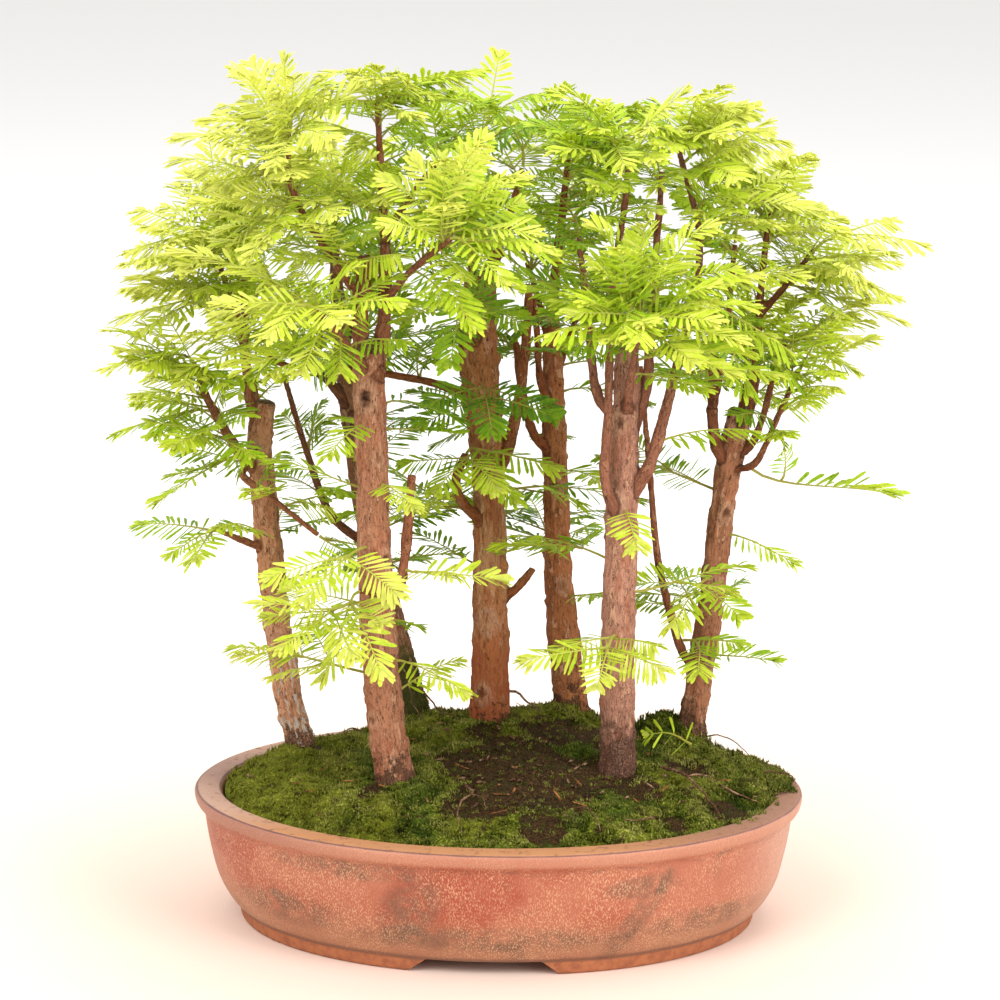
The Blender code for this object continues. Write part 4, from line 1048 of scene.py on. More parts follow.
def bark_of(tree):
    """Fibrous bark: grain runs along the wood, the bark attribute holds slimness, height over the
    moss and whether it is a cut end, and the scar attribute holds old wounds and their rims."""
    light, dark, lichen_height, damp_height = BARK_TONES[tree]
    material, place = paint(f"bark_of_tree_{tree}")
    grain = place.named("grain")
    kept = place.named("bark")
    wound = place.named("scar")
    slim, height, cut = kept.axis(0), kept.axis(1), kept.axis(2)
    fibres = grain.stretched(1.0, 1.0, 1.7).clouds(1.2, 5.0, 0.65)
    speckle = place.clouds(1.5, 4.0, 0.7)
    strips = grain.clouds(0.32, 3.0, 0.6)
    mottle = grain.stretched(1.0, 1.0, 2.8).clouds(0.36, 4.0, 0.62)
    blotches = place.clouds(0.045, 4.0, 0.6)
    flakes = mottle.within(0.56, 0.585) * strips.within(0.4, 0.55)
    edges = mottle.within(0.53, 0.545) * mottle.within(0.575, 0.56) * strips.within(0.35, 0.5)
    ruddy = grain.stretched(1.0, 1.0, 2.0).clouds(0.22, 3.0).within(0.54, 0.62)
    level = fibres * 0.45 + strips * 0.2 + mottle * 0.4 + blotches * 0.25 + speckle * 0.35
    colour = level.within(0.63, 0.89).mixed(dark, light).layered(
        (flakes * (0.3 + 0.5 * speckle), (0.6, 0.35, 0.21)),
        (edges * 0.6, (0.1, 0.04, 0.024)),                          # shadow beside a flake
        (speckle.within(0.4, 0.34) * 0.6, (0.07, 0.03, 0.018)),
        (ruddy * 0.45, (0.34, 0.1, 0.045)),
        (fibres.within(0.42, 0.34) * 0.75, (0.05, 0.02, 0.012)))
    if tree == RED_TREE:
        red = height.within(75.0, 10.0) * blotches.within(0.3, 0.6)
        tan = height.within(45.0, 80.0) * height.within(150.0, 95.0) * strips.within(0.4, 0.65)
        colour = colour.layered((red * 0.75, (0.36, 0.078, 0.024)), (tan * 0.6, (0.56, 0.33, 0.16)))
    colour = colour.tinted(slim.mixed((1.0, 1.0, 1.0), (0.66, 0.55, 0.48)))
    damp = height + (place.clouds(0.16, 5.0, 0.7) - 0.5) * 70.0
    foot = damp.within(damp_height, damp_height * 0.5) * (0.5 + speckle.within(0.42, 0.56) * 0.45)
    colour = colour.layered((foot, (0.045, 0.022, 0.012)))
    if tree == MOSSY_TREE:
        colour = colour.layered((damp.within(42.0, 30.0) * 0.85, (0.05, 0.06, 0.008)))
    if lichen_height:
        low = height.within(lichen_height, lichen_height * 0.5)
        pale = grain.stretched(1.0, 1.0, 2.2).clouds(0.5, 4.0, 0.7).within(0.53, 0.58) * low
        colour = colour.layered((pale * 0.85, (0.55, 0.49, 0.42)))
    else:
        pale = grain.stretched(1.0, 1.0, 3.0).clouds(0.6, 4.0, 0.75).within(0.64, 0.7)
        colour = colour.layered((pale * 0.55, (0.6, 0.42, 0.3)))
    year_rings = place.clouds(0.5, 4.0).within(0.35, 0.65).mixed((0.09, 0.05, 0.028),
                                                                 (0.27, 0.17, 0.095))
    colour = colour.layered(
        (place.clouds(0.16, 2.0).within(0.71, 0.76) * 0.6, (0.04, 0.018, 0.012)),    # knots
        (wound.axis(1) * fibres.within(0.35, 0.55) * 0.7, (0.52, 0.31, 0.19)),
        (wound.axis(0) * speckle.within(0.3, 0.5), (0.035, 0.016, 0.01)),
        (cut, year_rings))
    relief = fibres * 0.5 + mottle.within(0.5, 0.6) * 0.3 + speckle * 0.35
    coat(place, {"Base Color": colour, "Roughness": 0.76 + 0.2 * fibres,
                 "Normal": relief.bumped(0.0016), "Specular IOR Level": 0.2})
    return material


def on_bark(line, radii, height, turn, sunk=0.0):
    """The place on a trunk's bark at a height, turned from the front, and the way out of it."""
    k = min(range(len(line)), key=lambda step: abs(line[step].z - height))
    out = Vector((math.sin(turn), -math.cos(turn), 0.0))
    return line[k] + out * (radii[k] - sunk), out


def scarred(place, scars):
    """How deep in a hole a place on the bark is, how near a wound's rim, and how far raised."""
    hole = rim = raised = 0.0
    for middle, radius, deep in scars:
        away = place - middle
        away.z *= 0.75
        share = away.length / radius + 0.4 * noise.noise(place / 1.7)
        if share < 2.2:
            rim = max(rim, math.exp(-((share - 0.95) / 0.4) ** 2), 0.0 if deep else 1.0 - share)
            hole = max(hole, clamped(1.6 - 2.2 * share) * min(1.0, deep))
            raised += math.exp(-((share - 0.9) / 0.5) ** 2) * 0.8 - hole * deep
    return hole, rim, raised


def bark_relief(place, around):
    """The bark's height: ridges and cracks along its grain, swellings, knobs and peeling strips."""
    ridges = noise.noise(around * 0.42) * 0.5 + noise.noise(around * 0.95) * 0.4
    crack = max(0.0, 0.14 - abs(noise.noise(around * 0.3 + UP * 9.0))) * 4.0
    swell = noise.noise(place / 14.0) * 0.7
    knobs = max(0.0, noise.noise(place / 5.5) - 0.34) * 2.6
    peel = noise.noise(Vector((around.x, around.y, around.z * 2.2)) * 0.36)
    return ridges - crack + swell + knobs + (0.55 if peel > 0.12 else 0.0)


def joined_wood(tree, tubes):
    """A tree's tubes joined by a voxel remesh, back in millimetres."""
    bm = bmesh.new()
    for line, radii, slim in tubes:
        sleeve(bm, round_rings(line, radii, 8 if slim else 20))
    bmesh.ops.recalc_face_normals(bm, faces=bm.faces)
    wood = piece(f"rough_tree_{tree}", bm, bark_of(tree), 180.0)
    joined = wood.modifiers.new("join", "REMESH")
    joined.mode = "VOXEL"
    joined.voxel_size = BARK_VOXEL * METRES
    soften = wood.modifiers.new("soften", "SMOOTH")
    soften.factor = 0.5
    soften.iterations = 3
    settled(wood)
    bm = bmesh.new()
    bm.from_mesh(wood.data)
    bmesh.ops.scale(bm, vec=(1.0 / METRES,) * 3, verts=bm.verts)
    bmesh.ops.translate(bm, vec=FOREST_CENTRE, verts=bm.verts)
    bm.normal_update()
    material = wood.data.materials[0]
    bpy.data.objects.remove(wood)
    return bm, material


def wood_stations(tubes):
    """Every point of the tubes' lines with its heading, distance along, radius and slimness, and
    a tree that finds those near a place."""
    stations = []
    for line, radii, slim in tubes:
        for k, mark in enumerate(marks_along(line)):
            stations.append((line[k], heading(line, k), mark, radii[k], slim))
    finder = KDTree(len(stations))
    for number, station in enumerate(stations):
        finder.insert(station[0], number)
    finder.balance()
    return stations, finder


def make_tree(tree):
    """The joined wood, each of whose vertices gets its grain, its relief and its old wounds."""
    tubes = wood_tubes(tree)
    bm, material = joined_wood(tree, tubes)
    stations, finder = wood_stations(tubes)
    grain = bm.verts.layers.float_vector.new("grain")
    kept = bm.verts.layers.float_vector.new("bark")
    wound = bm.verts.layers.float_vector.new("scar")
    line, radii, _ = tubes[0]
    scars = [(on_bark(line, radii, height, math.radians(degrees))[0], radius, deep)
             for height, degrees, radius, deep in SCARS[tree]]
    top = line[-1]
    top_axis = (top - line[-3]).normalized()
    for vert in bm.verts:
        near = finder.find_n(vert.co, 10)
        best = min(near, key=lambda found: found[2] - stations[found[1]][3])
        point, ahead, along, radius, slim = stations[best[1]]
        offset = vert.co - point
        level = offset.dot(ahead)
        spoke = offset - ahead * level
        if slim and along > TRUE_FROM and spoke.length > 0.2 and abs(level) < FINE_SPACING:
            hold = min(1.0, (along - TRUE_FROM) / TRUE_OVER)
            vert.co = vert.co.lerp(point + ahead * level + spoke.normalized() * radius, hold)
        across = (Vector((1.0, 0.0, 0.0)) - ahead * ahead.x).normalized()
        over = ahead.cross(across)
        around = Vector((spoke.dot(across), spoke.dot(over),
                         (along + level) * GRAIN_STRETCH + 40.0 * slim))
        end = (vert.co - top).dot(top_axis)
        flat = end > -0.9 and (vert.co - top - top_axis * end).length < radii[-1]
        sawn = flat and tree != UNSAWN_TREE and not slim
        hole, rim, raised = scarred(vert.co, [] if slim else scars)
        raised += bark_relief(vert.co, around) * min(1.0, radius / 6.0)
        vert[grain] = around
        vert[kept] = (slim, vert.co.z - mound(vert.co.x, vert.co.y), float(sawn))
        vert[wound] = (hole, rim, 0.0)
        if not sawn:
            vert.co += vert.normal * raised
    return piece(f"tree_{tree}", bm, material, 180.0)


for number in TRUNKS:
    tree_wood = make_tree(number)
    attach(tree_wood, "root")
    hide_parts(f"tree_{number}_wood")


# Leafy stems: this year's green shoots, each with flat fronds of soft needles in opposite
# pairs. They grow from the limbs, arch over and droop at their tips, and are yellow-green where
# they are young, with painted light at the crown's top and outside and painted shade deep inside.

LEAFY_STEMS = (                 # limb, share of its length, tips, side fronds
    ("1_snag", 1.0, ((-196, 6, 271),), 1),
    ("1_snag", 0.62, ((-181, 52, 250), (-171, 2, 238)), 1),
    ("1_snag", 0.2, ((-168, 44, 209),), 1),
    ("1_high", 1.0, ((-184, 6, 329),), 2),
    ("1_high", 0.55, ((-192, 40, 290),), 1),
    ("1_leader", 1.0, ((-164, 40, 358),), 2),
    ("1_leader", 0.7, ((-97, -8, 274),), 1),
    ("1_low", 1.0, ((-165, 6, 178),), 2),
    ("1_cross", 1.0, ((-73, 14, 178),), 1),
    ("1_back", 1.0, ((-171, 120, 290),), 2),
    ("2_leader", 1.0, ((-19, -40, 420), (-88, -52, 423)), 0),
    ("2_leader", 0.6, ((-94, -90, 389),), 2),
    ("2_left", 1.0, ((-103, -60, 434),), 2),
    ("2_left", 0.55, ((-139, -70, 360),), 2),
    ("2_right", 1.0, ((3, -118, 337),), 1),
    ("2_right", 0.55, ((-7, -96, 370),), 2),
    ("2_front", 1.0, ((-109, -128, 313),), 2),
    ("2_low", 1.0, ((-87, -74, 137), (-117, -84, 178)), 1),
    ("2_stub", 0.35, ((-21, -70, 190),), 1),
    ("2_snag", 0.9, ((-107, -92, 361),), 2),
    ("3_left", 1.0, ((-127, 70, 294),), 0),
    ("3_back", 1.0, ((-106, 140, 287),), 2),
    ("3_rear", 1.0, ((-44, 135, 335),), 2),
    ("4_leader", 1.0, ((20, 14, 407),), 1),
    ("4_second", 1.0, ((-22, 80, 398),), 1),
    ("4_front", 1.0, ((-26, -62, 286),), 2),
    ("4_rear", 1.0, ((-19, 140, 345),), 2),
    ("4_stub", 0.55, ((-72, 0, 231),), 1),
    ("4_stub", 1.0, ((13, 4, 208),), 1),
    ("5_leader", 1.0, ((60, 58, 398),), 0),
    ("5_leader", 0.45, ((67, 100, 342),), 1),
    ("5_rear", 1.0, ((64, 140, 310),), 2),
    ("5_rear2", 1.0, ((7, 150, 334),), 1),
    ("5_left", 0.5, ((-12, 90, 225),), 1),
    ("6_front", 1.0, ((32, -46, 411),), 2),
    ("6_front", 0.62, ((21, -80, 348),), 2),
    ("6_left", 1.0, ((6, -40, 373),), 2),
    ("6_fork_top", 1.0, ((112, -32, 402),), 2),
    ("6_fork", 0.95, ((118, -50, 273),), 1),
    ("6_fwd", 1.0, ((60, -128, 313),), 2),
    ("7_reach", 1.0, ((205, 16, 336),), 1),
    ("7_right", 1.0, ((149, 40, 377),), 2),
    ("7_right", 0.7, ((195, 20, 294),), 2),
    ("7_inner", 1.0, ((114, 20, 387),), 2),
    ("7_thin", 1.0, ((175, 24, 270),), 0),
    ("7_green", 0.15, ((196, 20, 210),), 0),
    ("7_low", 0.15, ((120, 10, 142), (97, -6, 124)), 0),
    ("7_back", 1.0, ((151, 130, 287),), 2),
)
FROND_LENGTH = 54.0
SIDE_FROND_LENGTH = 46.0
SIDE_FROND_ANGLE = math.radians(52.0)
MAIN_LEAFY, FORK_LEAFY = 0.82, 0.8      # the most of a stem's length that bears needles
NEEDLE_REACH = 10.5
STEM_SPACING = 18.0
SIDE_FROND_STAGGER = 1.7
SIDE_FROND_SEAT = 1.0
SIDE_FROND_BARE = 6.0
SIDE_FROND_DROOP = 5.0
FACE_TILT = 0.45
TERMINAL_NEEDLE = 8.0
ROOM = 1.5
STEM_ROOM, TIP_ROOM = 1.3, 2.0
OWN_LIMB_ROOM = 5.0
OWN_STEM_ROOM = 2.5
TURNS = (0, 9, -9, 18, -18, 28, -28, 40, -40)
SWINGS = sorted(((turn, lift) for turn in TURNS for lift in TURNS),
                key=lambda swing: swing[0] ** 2 + swing[1] ** 2)
NEEDLE_LENGTH = 13.0
NEEDLE_WIDTH = 2.1
NEEDLE_DEPTH = 0.4
FINE_NEEDLE = ((0.0, 0.24), (0.22, 0.8), (0.84, 1.05), (1.0, 0.5))   # share along, of the width
PLAIN_NEEDLE = ((0.0, 0.35), (0.7, 1.15), (1.0, 0.5))
END_NEEDLES = ((17.0, 7.5), (-15.0, 7.0), (3.0, 8.5))     # degrees off the rib, length
STEM_RADIUS = 0.85
RIB_RADIUS = 0.5
RIB_BARE_TIP = 6.0
FROND_KINDS = 8
CUP = (-4.0, 14.0)              # degrees that a frond's needles rise or droop, and their spread
LIGHT_SWING = 0.14
FROND_SEED = 3


class Frond:
    """A leafy stem's line, where its needles begin, and which way its flat side faces."""

    def __init__(self, line, bare, facing):
        self.line = line
        self.bare = bare
        self.facing = facing
        self.marks = marks_along(line)
        self.length = self.marks[-1]
        steps = max(1, round(bare / STEM_SPACING))
        self.stem_marks = [bare * k / steps for k in range(steps + 1)]

    def at(self, distance):
        """The point so far along, with the directions ahead, to its side and up off its face."""
        distance = min(max(distance, 0.0), self.length)
        k = 0
        while k < len(self.marks) - 2 and self.marks[k + 1] < distance:
            k += 1
        share = (distance - self.marks[k]) / (self.marks[k + 1] - self.marks[k])
        point = self.line[k].lerp(self.line[k + 1], share)
        before = self.line[k + 1] - self.line[max(k - 1, 0)]
        after = self.line[min(k + 2, len(self.line) - 1)] - self.line[k]
        ahead = before.normalized().lerp(after.normalized(), share).normalized()
        side = ahead.cross(self.facing).normalized()
        return point, ahead, side, side.cross(ahead)

    def envelope(self, skip):
        """A thin closed strip as wide as the needles reach, from skip onwards."""
        needled = max(self.bare, skip + 2.0)
        rib_end = self.length - TERMINAL_NEEDLE
        stations = [(skip, STEM_ROOM), (max(self.bare - 5.0, skip + 1.0), STEM_ROOM)]
        stations += [(needled + (rib_end - needled) * share, NEEDLE_REACH)
                     for share in (0.0, 0.35, 0.7, 1.0)]
        stations.append((self.length, TIP_ROOM))
        rings = []
        for distance, half in stations:
            point, _, side, up = self.at(distance)
            corners = ((-half, -ROOM), (half, -ROOM), (half, ROOM), (-half, ROOM))
            rings.append([point + side * a + up * b for a, b in corners])
        return feeler(rings)

    def bend(self, sheet, cup):
        """Carries places of a straight frond (x along, y aside, z up) onto this one."""
        line = np.array(self.line)
        tangent = np.gradient(line, np.array(self.marks), axis=0)
        scale = (self.length - self.bare) / FROND_LENGTH
        x = sheet[:, 0]
        distance = np.where(x < 0.0, self.bare * (1.0 + x), self.bare + x * scale)
        point, ahead = (np.column_stack([np.interp(distance, self.marks, axis) for axis in rows.T])
                        for rows in (line, tangent))
        ahead /= np.linalg.norm(ahead, axis=1)[:, None]
        point += ahead * np.maximum(0.0, distance - self.length)[:, None]
        side = np.cross(ahead, np.array(self.facing))
        side /= np.linalg.norm(side, axis=1)[:, None]
        up = np.cross(side, ahead)
        over = sheet[:, 2] + np.abs(sheet[:, 1]) * math.tan(cup)
        return point + side * sheet[:, 1:2] + up * over[:, None]


def feeler(rings):
    """A closed sleeve used only to feel for what is in the way."""
    bm = bmesh.new()
    sleeve(bm, rings)
    tree = BVHTree.FromBMesh(bm)
    bm.free()
    return tree


def outward(point, tree):
    trunk_x, trunk_y = TRUNKS[tree][3][:2]
    away = Vector((point.x - trunk_x, point.y - trunk_y, 0.0))
    if away.length < 8.0:
        away = FRONT.copy()
    return away.normalized()


def bent_line(root, leaving, tip):
    """A stem's line that leaves as told, arches over and comes down a little to its tip."""
    chord = tip - root
    reach = chord.length
    level = Vector((chord.x, chord.y, 0.0))
    arriving = chord.normalized()
    if level.length > 0.3 * reach:
        arriving = (level.normalized() - UP * 0.3 + arriving * 0.6).normalized()
    first = root + leaving * reach * 0.3
    second = tip - arriving * reach * 0.35
    line = []
    for k in range(9):
        t = k / 8.0
        u = 1.0 - t
        line.append(root * u ** 3 + first * 3 * u * u * t + second * 3 * u * t * t + tip * t ** 3)
    return line


def swung(chord, turn, lift):
    """The chord turned about the upright and lifted from the level, in degrees."""
    turned = chord.copy()
    turned.rotate(Quaternion(UP, math.radians(turn)))
    hinge = turned.cross(UP)
    if hinge.length < 1.0:
        hinge = Vector((1.0, 0.0, 0.0))
    turned.rotate(Quaternion(hinge.normalized(), math.radians(lift)))
    return turned


def limb_place(name, share):
    """The point, direction and radius at a share of a limb's length."""
    line, radii = limb_line(name)
    marks = marks_along(line)
    distance = share * marks[-1]
    k = max(j for j in range(len(line) - 1) if marks[j] <= distance)
    part = (distance - marks[k]) / (marks[k + 1] - marks[k])
    point = line[k].lerp(line[k + 1], part)
    return point, (line[k + 1] - line[k]).normalized(), radii[k] + (radii[k + 1] - radii[k]) * part


def end_frond(line, tree, most_leafy):
    """The frond at the end of a stem, which faces up and away from its tree."""
    whole = marks_along(line)[-1]
    facing = UP + outward(line[-1], tree) * FACE_TILT
    return Frond(line, whole - min(FROND_LENGTH, whole * most_leafy), facing)


def main_frond(limb, share, tip, swing):
    """The frond at a stem's own end, from its seat on the limb."""
    point, along, radius = limb_place(limb, share)
    chord = swung(tip - point, *swing)
    if share >= 1.0:
        root, leaving = point + along * GAP, along
    else:
        leaving = (chord - along * chord.dot(along)).normalized()
        root = point + leaving * (radius + GAP)
    return end_frond(bent_line(root, leaving, point + chord), LIMBS[limb][0], MAIN_LEAFY)


def forked_frond(main, limb, tip, swing):
    """A second frond that parts from the stem near its root."""
    root, ahead, _, _ = main.at(main.stem_marks[1])
    chord = swung(tip - root, *swing)
    leaving = (ahead + chord.normalized()).normalized()
    return end_frond(bent_line(root, leaving, root + chord), LIMBS[limb][0], FORK_LEAFY)


def drooping_line(root, chord, droop):
    """A side frond's line: straight out, and down by so much at its tip."""
    return [root + chord * t - UP * droop * t * t for t in (0.0, 0.25, 0.5, 0.75, 1.0)]


def side_frond(main, number, swing):
    """A frond that grows beside the stem, left and right by turns."""
    place = len(main.stem_marks) - 2 - number // 2
    start = main.stem_marks[place] if place > 0 else main.bare - SIDE_FROND_SEAT
    root, ahead, side, _ = main.at(start - SIDE_FROND_STAGGER * (number % 2))
    hand = 1.0 if number % 2 else -1.0
    chord = ahead * math.cos(SIDE_FROND_ANGLE) + side * hand * math.sin(SIDE_FROND_ANGLE)
    chord = swung(chord * SIDE_FROND_LENGTH, *swing)
    return Frond(drooping_line(root, chord, SIDE_FROND_DROOP), SIDE_FROND_BARE, main.facing)


def settle(make, taken, skip):
    """The frond at the first swing that leaves it clear of what is taken, or None."""
    for swing in SWINGS:
        frond = make(swing)
        shape = frond.envelope(skip)
        if not any(shape.overlap(other) for other in taken):
            return frond, shape
    return None


def wood_shapes():
    """Closed sleeves round every trunk and limb."""
    wood = [(*trunk_line(tree), TRUNK_SIDES) for tree in TRUNKS]
    wood += [(*limb_line(name), 5 if LIMBS[name][2] > STOUT_LIMB else 4) for name in LIMBS]
    return [feeler(round_rings(line, [radius + GAP for radius in radii], sides))
            for line, radii, sides in wood]


def grow_leafy_stems():
    """Every leafy stem's fronds by name, each bent clear of the wood and the stems before it."""
    taken = list(wood_room)
    stems = {}
    letters = {}
    for limb, share, tips, sides in LEAFY_STEMS:
        letters[limb] = letters.get(limb, 0) + 1
        found = settle(lambda swing: main_frond(limb, share, Vector(tips[0]), swing), taken,
                       OWN_LIMB_ROOM)
        if found is None:
            continue
        main = found[0]
        grown = [found]
        makers = [lambda swing, t=tip: forked_frond(main, limb, Vector(t), swing)
                  for tip in tips[1:]]
        makers += [lambda swing, n=number: side_frond(main, n, swing) for number in range(sides)]
        for make in makers:
            found = settle(make, taken, OWN_STEM_ROOM)
            if found is not None:
                grown.append(found)
        taken += [shape for _, shape in grown]
        stems[f"spray_{limb}_{letters[limb]}"] = [frond for frond, _ in grown]
    return stems


def leaf_green():
    """Needle green by the leaf attribute: youth plus painted light and shade, chance, and how
    woody.
    """
    material, place = paint("young_needles")
    kept = place.named("leaf")
    young, chance, woody = kept.axis(0), kept.axis(1), kept.axis(2)
    veil = place.clouds(0.05, 2.0)
    fine = place.clouds(0.6, 3.0, 0.6)
    level = young * 0.72 + chance * 0.2 + veil * 0.16 + (fine - 0.5) * 0.5
    green = level.ramped(
        (0.1, (0.035, 0.12, 0.004)), (0.35, (0.135, 0.285, 0.009)), (0.6, (0.3, 0.455, 0.014)),
        (0.82, (0.48, 0.59, 0.032)), (1.0, (0.62, 0.65, 0.11)))
    stem = young.mixed((0.2, 0.085, 0.035), (0.45, 0.5, 0.07))
    coat(place, {"Base Color": woody.mixed(green, stem), "Roughness": 0.45 + 0.12 * chance,
                 "Subsurface Weight": 0.3, "Subsurface Radius": (0.9, 1.0, 0.2),
                 "Subsurface Scale": 0.0012, "Specular IOR Level": 0.2,
                 "Normal": place.clouds(1.1, 2.0).bumped(0.00012)})
    return material


def blade(bm, kept, form, root, ahead, up, length, width, bend, mark):
    """One needle: a thin closed blade with a keel under it, narrow at its root and blunt."""
    aside = ahead.cross(up).normalized()
    up = aside.cross(ahead)
    rings = []
    for share, wide in form:
        middle = root + ahead * length * share + bend * share * share
        half = width * wide / 2.0
        keel = NEEDLE_DEPTH * (0.5 + 0.5 * wide)
        rings.append([middle - aside * half, middle + aside * half, middle - up * keel])
    before = len(bm.verts)
    sleeve(bm, rings)
    bm.verts.ensure_lookup_table()
    for vert in bm.verts[before:]:
        vert[kept] = mark


def needled_rib(bm, kept, chance, sides):
    """The stem from -1 to 0 and the rib on from it, a closed sleeve that thins to its tip."""
    stations = [(-1.0 + k / 6.0, STEM_RADIUS + (RIB_RADIUS + 0.1 - STEM_RADIUS) * k / 6.0)
                for k in range(7)]
    for k in range(1, 6):
        stations.append(((FROND_LENGTH - RIB_BARE_TIP) * k / 5.0, RIB_RADIUS * (1.0 - 0.1 * k)))
    sleeve(bm, [[Vector((x, radius * math.cos(turn), radius * math.sin(turn)))
                 for turn in ring_turns(sides)] for x, radius in stations])
    for vert in bm.verts:
        vert[kept] = (0.35 + 0.5 * max(0.0, vert.co.x) / FROND_LENGTH, chance.random(), 1.0)


def paired_needles(bm, kept, chance, form, pairs):
    """Needles in opposite pairs, wide apart at the rib's root and crowded forward at its tip."""
    for k in range(pairs):
        share = k / (pairs - 1)
        swell = math.sin(math.pi * min(1.0, 0.25 + share * 0.62)) ** 0.6
        for hand in (-1.0, 1.0):
            angle = math.radians(64.0 - 48.0 * share ** 1.1 + chance.gauss(0.0, 4.5))
            ahead = Vector((math.cos(angle), hand * math.sin(angle), chance.gauss(0.05, 0.09)))
            ahead.normalize()
            up = Quaternion(ahead, math.radians(chance.gauss(0.0, 15.0) + hand * 8.0)) @ UP
            length = NEEDLE_LENGTH * (0.42 + 0.58 * swell) * chance.uniform(0.9, 1.07)
            along = (FROND_LENGTH - 9.0) * (1.0 - (1.0 - share) ** 1.5)
            root = Vector((0.8 + along + chance.uniform(-0.4, 0.4), hand * 0.25, 0.1))
            width = NEEDLE_WIDTH * (0.8 + 0.2 * swell) * chance.uniform(0.9, 1.08)
            young = 0.1 + 0.5 * share + chance.uniform(-0.1, 0.1)
            bend = Vector((chance.gauss(0.6, 0.9), 0.0, -chance.uniform(0.2, 2.4)))
            mark = (young, chance.random(), 0.0)
            blade(bm, kept, form, root, ahead, up, length, width, bend, mark)


def straight_frond(name, chance, form, sides, pairs=None):
    """A straight frond along x: its mesh, and that mesh's places and marks."""
    bm = bmesh.new()
    kept = bm.verts.layers.float_vector.new("leaf")
    needled_rib(bm, kept, chance, sides)
    paired_needles(bm, kept, chance, form, pairs or chance.choice((13, 14, 15)))
    for angle, length in END_NEEDLES:
        turn = math.radians(angle + chance.gauss(0.0, 4.0))
        ahead = Vector((math.cos(turn), math.sin(turn), 0.12)).normalized()
        root = Vector((FROND_LENGTH - 8.2, 0.0, 0.1))
        mark = (0.75, chance.random(), 0.0)
        blade(bm, kept, form, root, ahead, UP, length, NEEDLE_WIDTH * 0.8, UP * -0.5, mark)
    bmesh.ops.recalc_face_normals(bm, faces=bm.faces)
    kind = small_mesh(name, bm)
    return kind, *places_and_marks(kind, "leaf")


def sunlit(point):
    """How much light a place gets: 0 deep in the crown, 1 at its top and outside. Under the
    crown the light comes in from the sides, and most in front."""
    height = (point.z - 150.0) / 260.0
    out = math.hypot(point.x - 5.0, point.y - 10.0) / 190.0
    in_crown = 0.5 * height + 0.62 * out - 0.06
    under_crown = 0.62 - 0.0022 * point.y
    return clamped(in_crown + (under_crown - in_crown) * clamped((258.0 - point.z) / 40.0))


def lay_frond(bm, frond, kinds, chance):
    """Adds one of the frond kinds, bent along a frond's line, with painted light and shade by its
    place.
    """
    kind, places, marks = chance.choice(kinds)
    bent = frond.bend(places, math.radians(chance.gauss(*CUP)))
    # painted light and shade: fronds high and outside in the crown lighter, those deep inside
    # darker
    light = sunlit(frond.line[-1]) * 1.6 - 0.47 + chance.uniform(-LIGHT_SWING, LIGHT_SWING)
    young, woody = marks[:, 0], marks[:, 2] > 0.5
    lit = marks.copy()
    lit[:, 0] = np.where(woody, young + light * 0.4, young * 0.55 + light)
    put_back(kind, "leaf", bent, lit)
    bm.from_mesh(kind)


def leafy_piece(name, fronds, kinds, chance):
    bm = bmesh.new()
    bm.verts.layers.float_vector.new("leaf")
    for frond in fronds:
        lay_frond(bm, frond, kinds, chance)
    leafy = piece(name, bm, needle_material, 50.0)
    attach(leafy, "root")
    return leafy


chance = random.Random(FROND_SEED)
fine_fronds = [straight_frond(f"fine_frond_{k}", chance, FINE_NEEDLE, 5)
               for k in range(FROND_KINDS)]
plain_fronds = [straight_frond(f"plain_frond_{k}", chance, PLAIN_NEEDLE, 3)
                for k in range(FROND_KINDS)]
needle_material = leaf_green()
wood_room = wood_shapes()
leafy_stems = grow_leafy_stems()
stem_chance = random.Random(FROND_SEED + 1)
for spray, fronds in leafy_stems.items():
    leafy = leafy_piece(spray.replace("spray", "leafy_stem"), fronds, fine_fronds, stem_chance)
    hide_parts(spray)


# Crown: the rest of each tree's shoots. They fill the space between the leafy stems, springing
# from the nearest limb or older shoot, and spread their fronds in level layers towards the
# light, densest at the top and thin below.

CROWN_OUTLINE = (               # x, and height as the view from the front sees it
    (-119, 424), (-84, 418), (-51, 414), (-13, 420), (20, 410), (44, 409), (72, 412), (110, 410),
    (135, 393), (147, 381), (158, 362), (199, 342), (192, 300), (172, 274), (144, 250),
    (130, 238), (105, 258), (66, 280), (28, 285), (-11, 285), (-50, 284), (-84, 260), (-98, 230),
    (-128, 206), (-164, 216), (-187, 264), (-193, 277), (-184, 331), (-158, 381), (-144, 395))
CROWN_MIDDLE = Vector((4.0, 8.0, 0.0))
CROWN_HALF_X, CROWN_HALF_Y = 207.0, 134.0
CROWN_LOW, CROWN_FULL = 200.0, 285.0        # heights where shoots begin and where all grow
CROWN_TOP = 430.0
CROWN_FRONDS = 700
CROWN_TRIES = 60000
CROWN_ROUNDS = 3
SHOOT_APART = 21.0
SHOOT_SHORTEST, SHOOT_LONGEST = 26.0, 88.0
WINDOW_LOW, WINDOW_HIGH = 270.0, 345.0      # heights seen, where the front of the crown is thin
WINDOW_LEFT, WINDOW_RIGHT = -75.0, 72.0
WINDOW_BARE = 0.75
LOW_SHOOTS = {                  # lowest, highest and how many short shoots straight from a trunk
    1: (150.0, 222.0, 5), 2: (118.0, 268.0, 14), 3: (150.0, 262.0, 10), 4: (160.0, 272.0, 11),
    5: (128.0, 262.0, 10), 6: (140.0, 238.0, 5), 7: (112.0, 212.0, 5),
}
LOW_SHORTEST, LOW_LONGEST = 32.0, 74.0
LOW_BRANCHING = 55.0            # a low shoot longer than this bears side fronds
GOLDEN_TURN = 2.4
SHOOT_SEED = 23
PAIR_SPACING = 15.0
SPRING_SPACING = 6.0            # between the places where a shoot can spring


def seen_height(point):
    return point.z + point.y * math.tan(SIGHT_RISE)


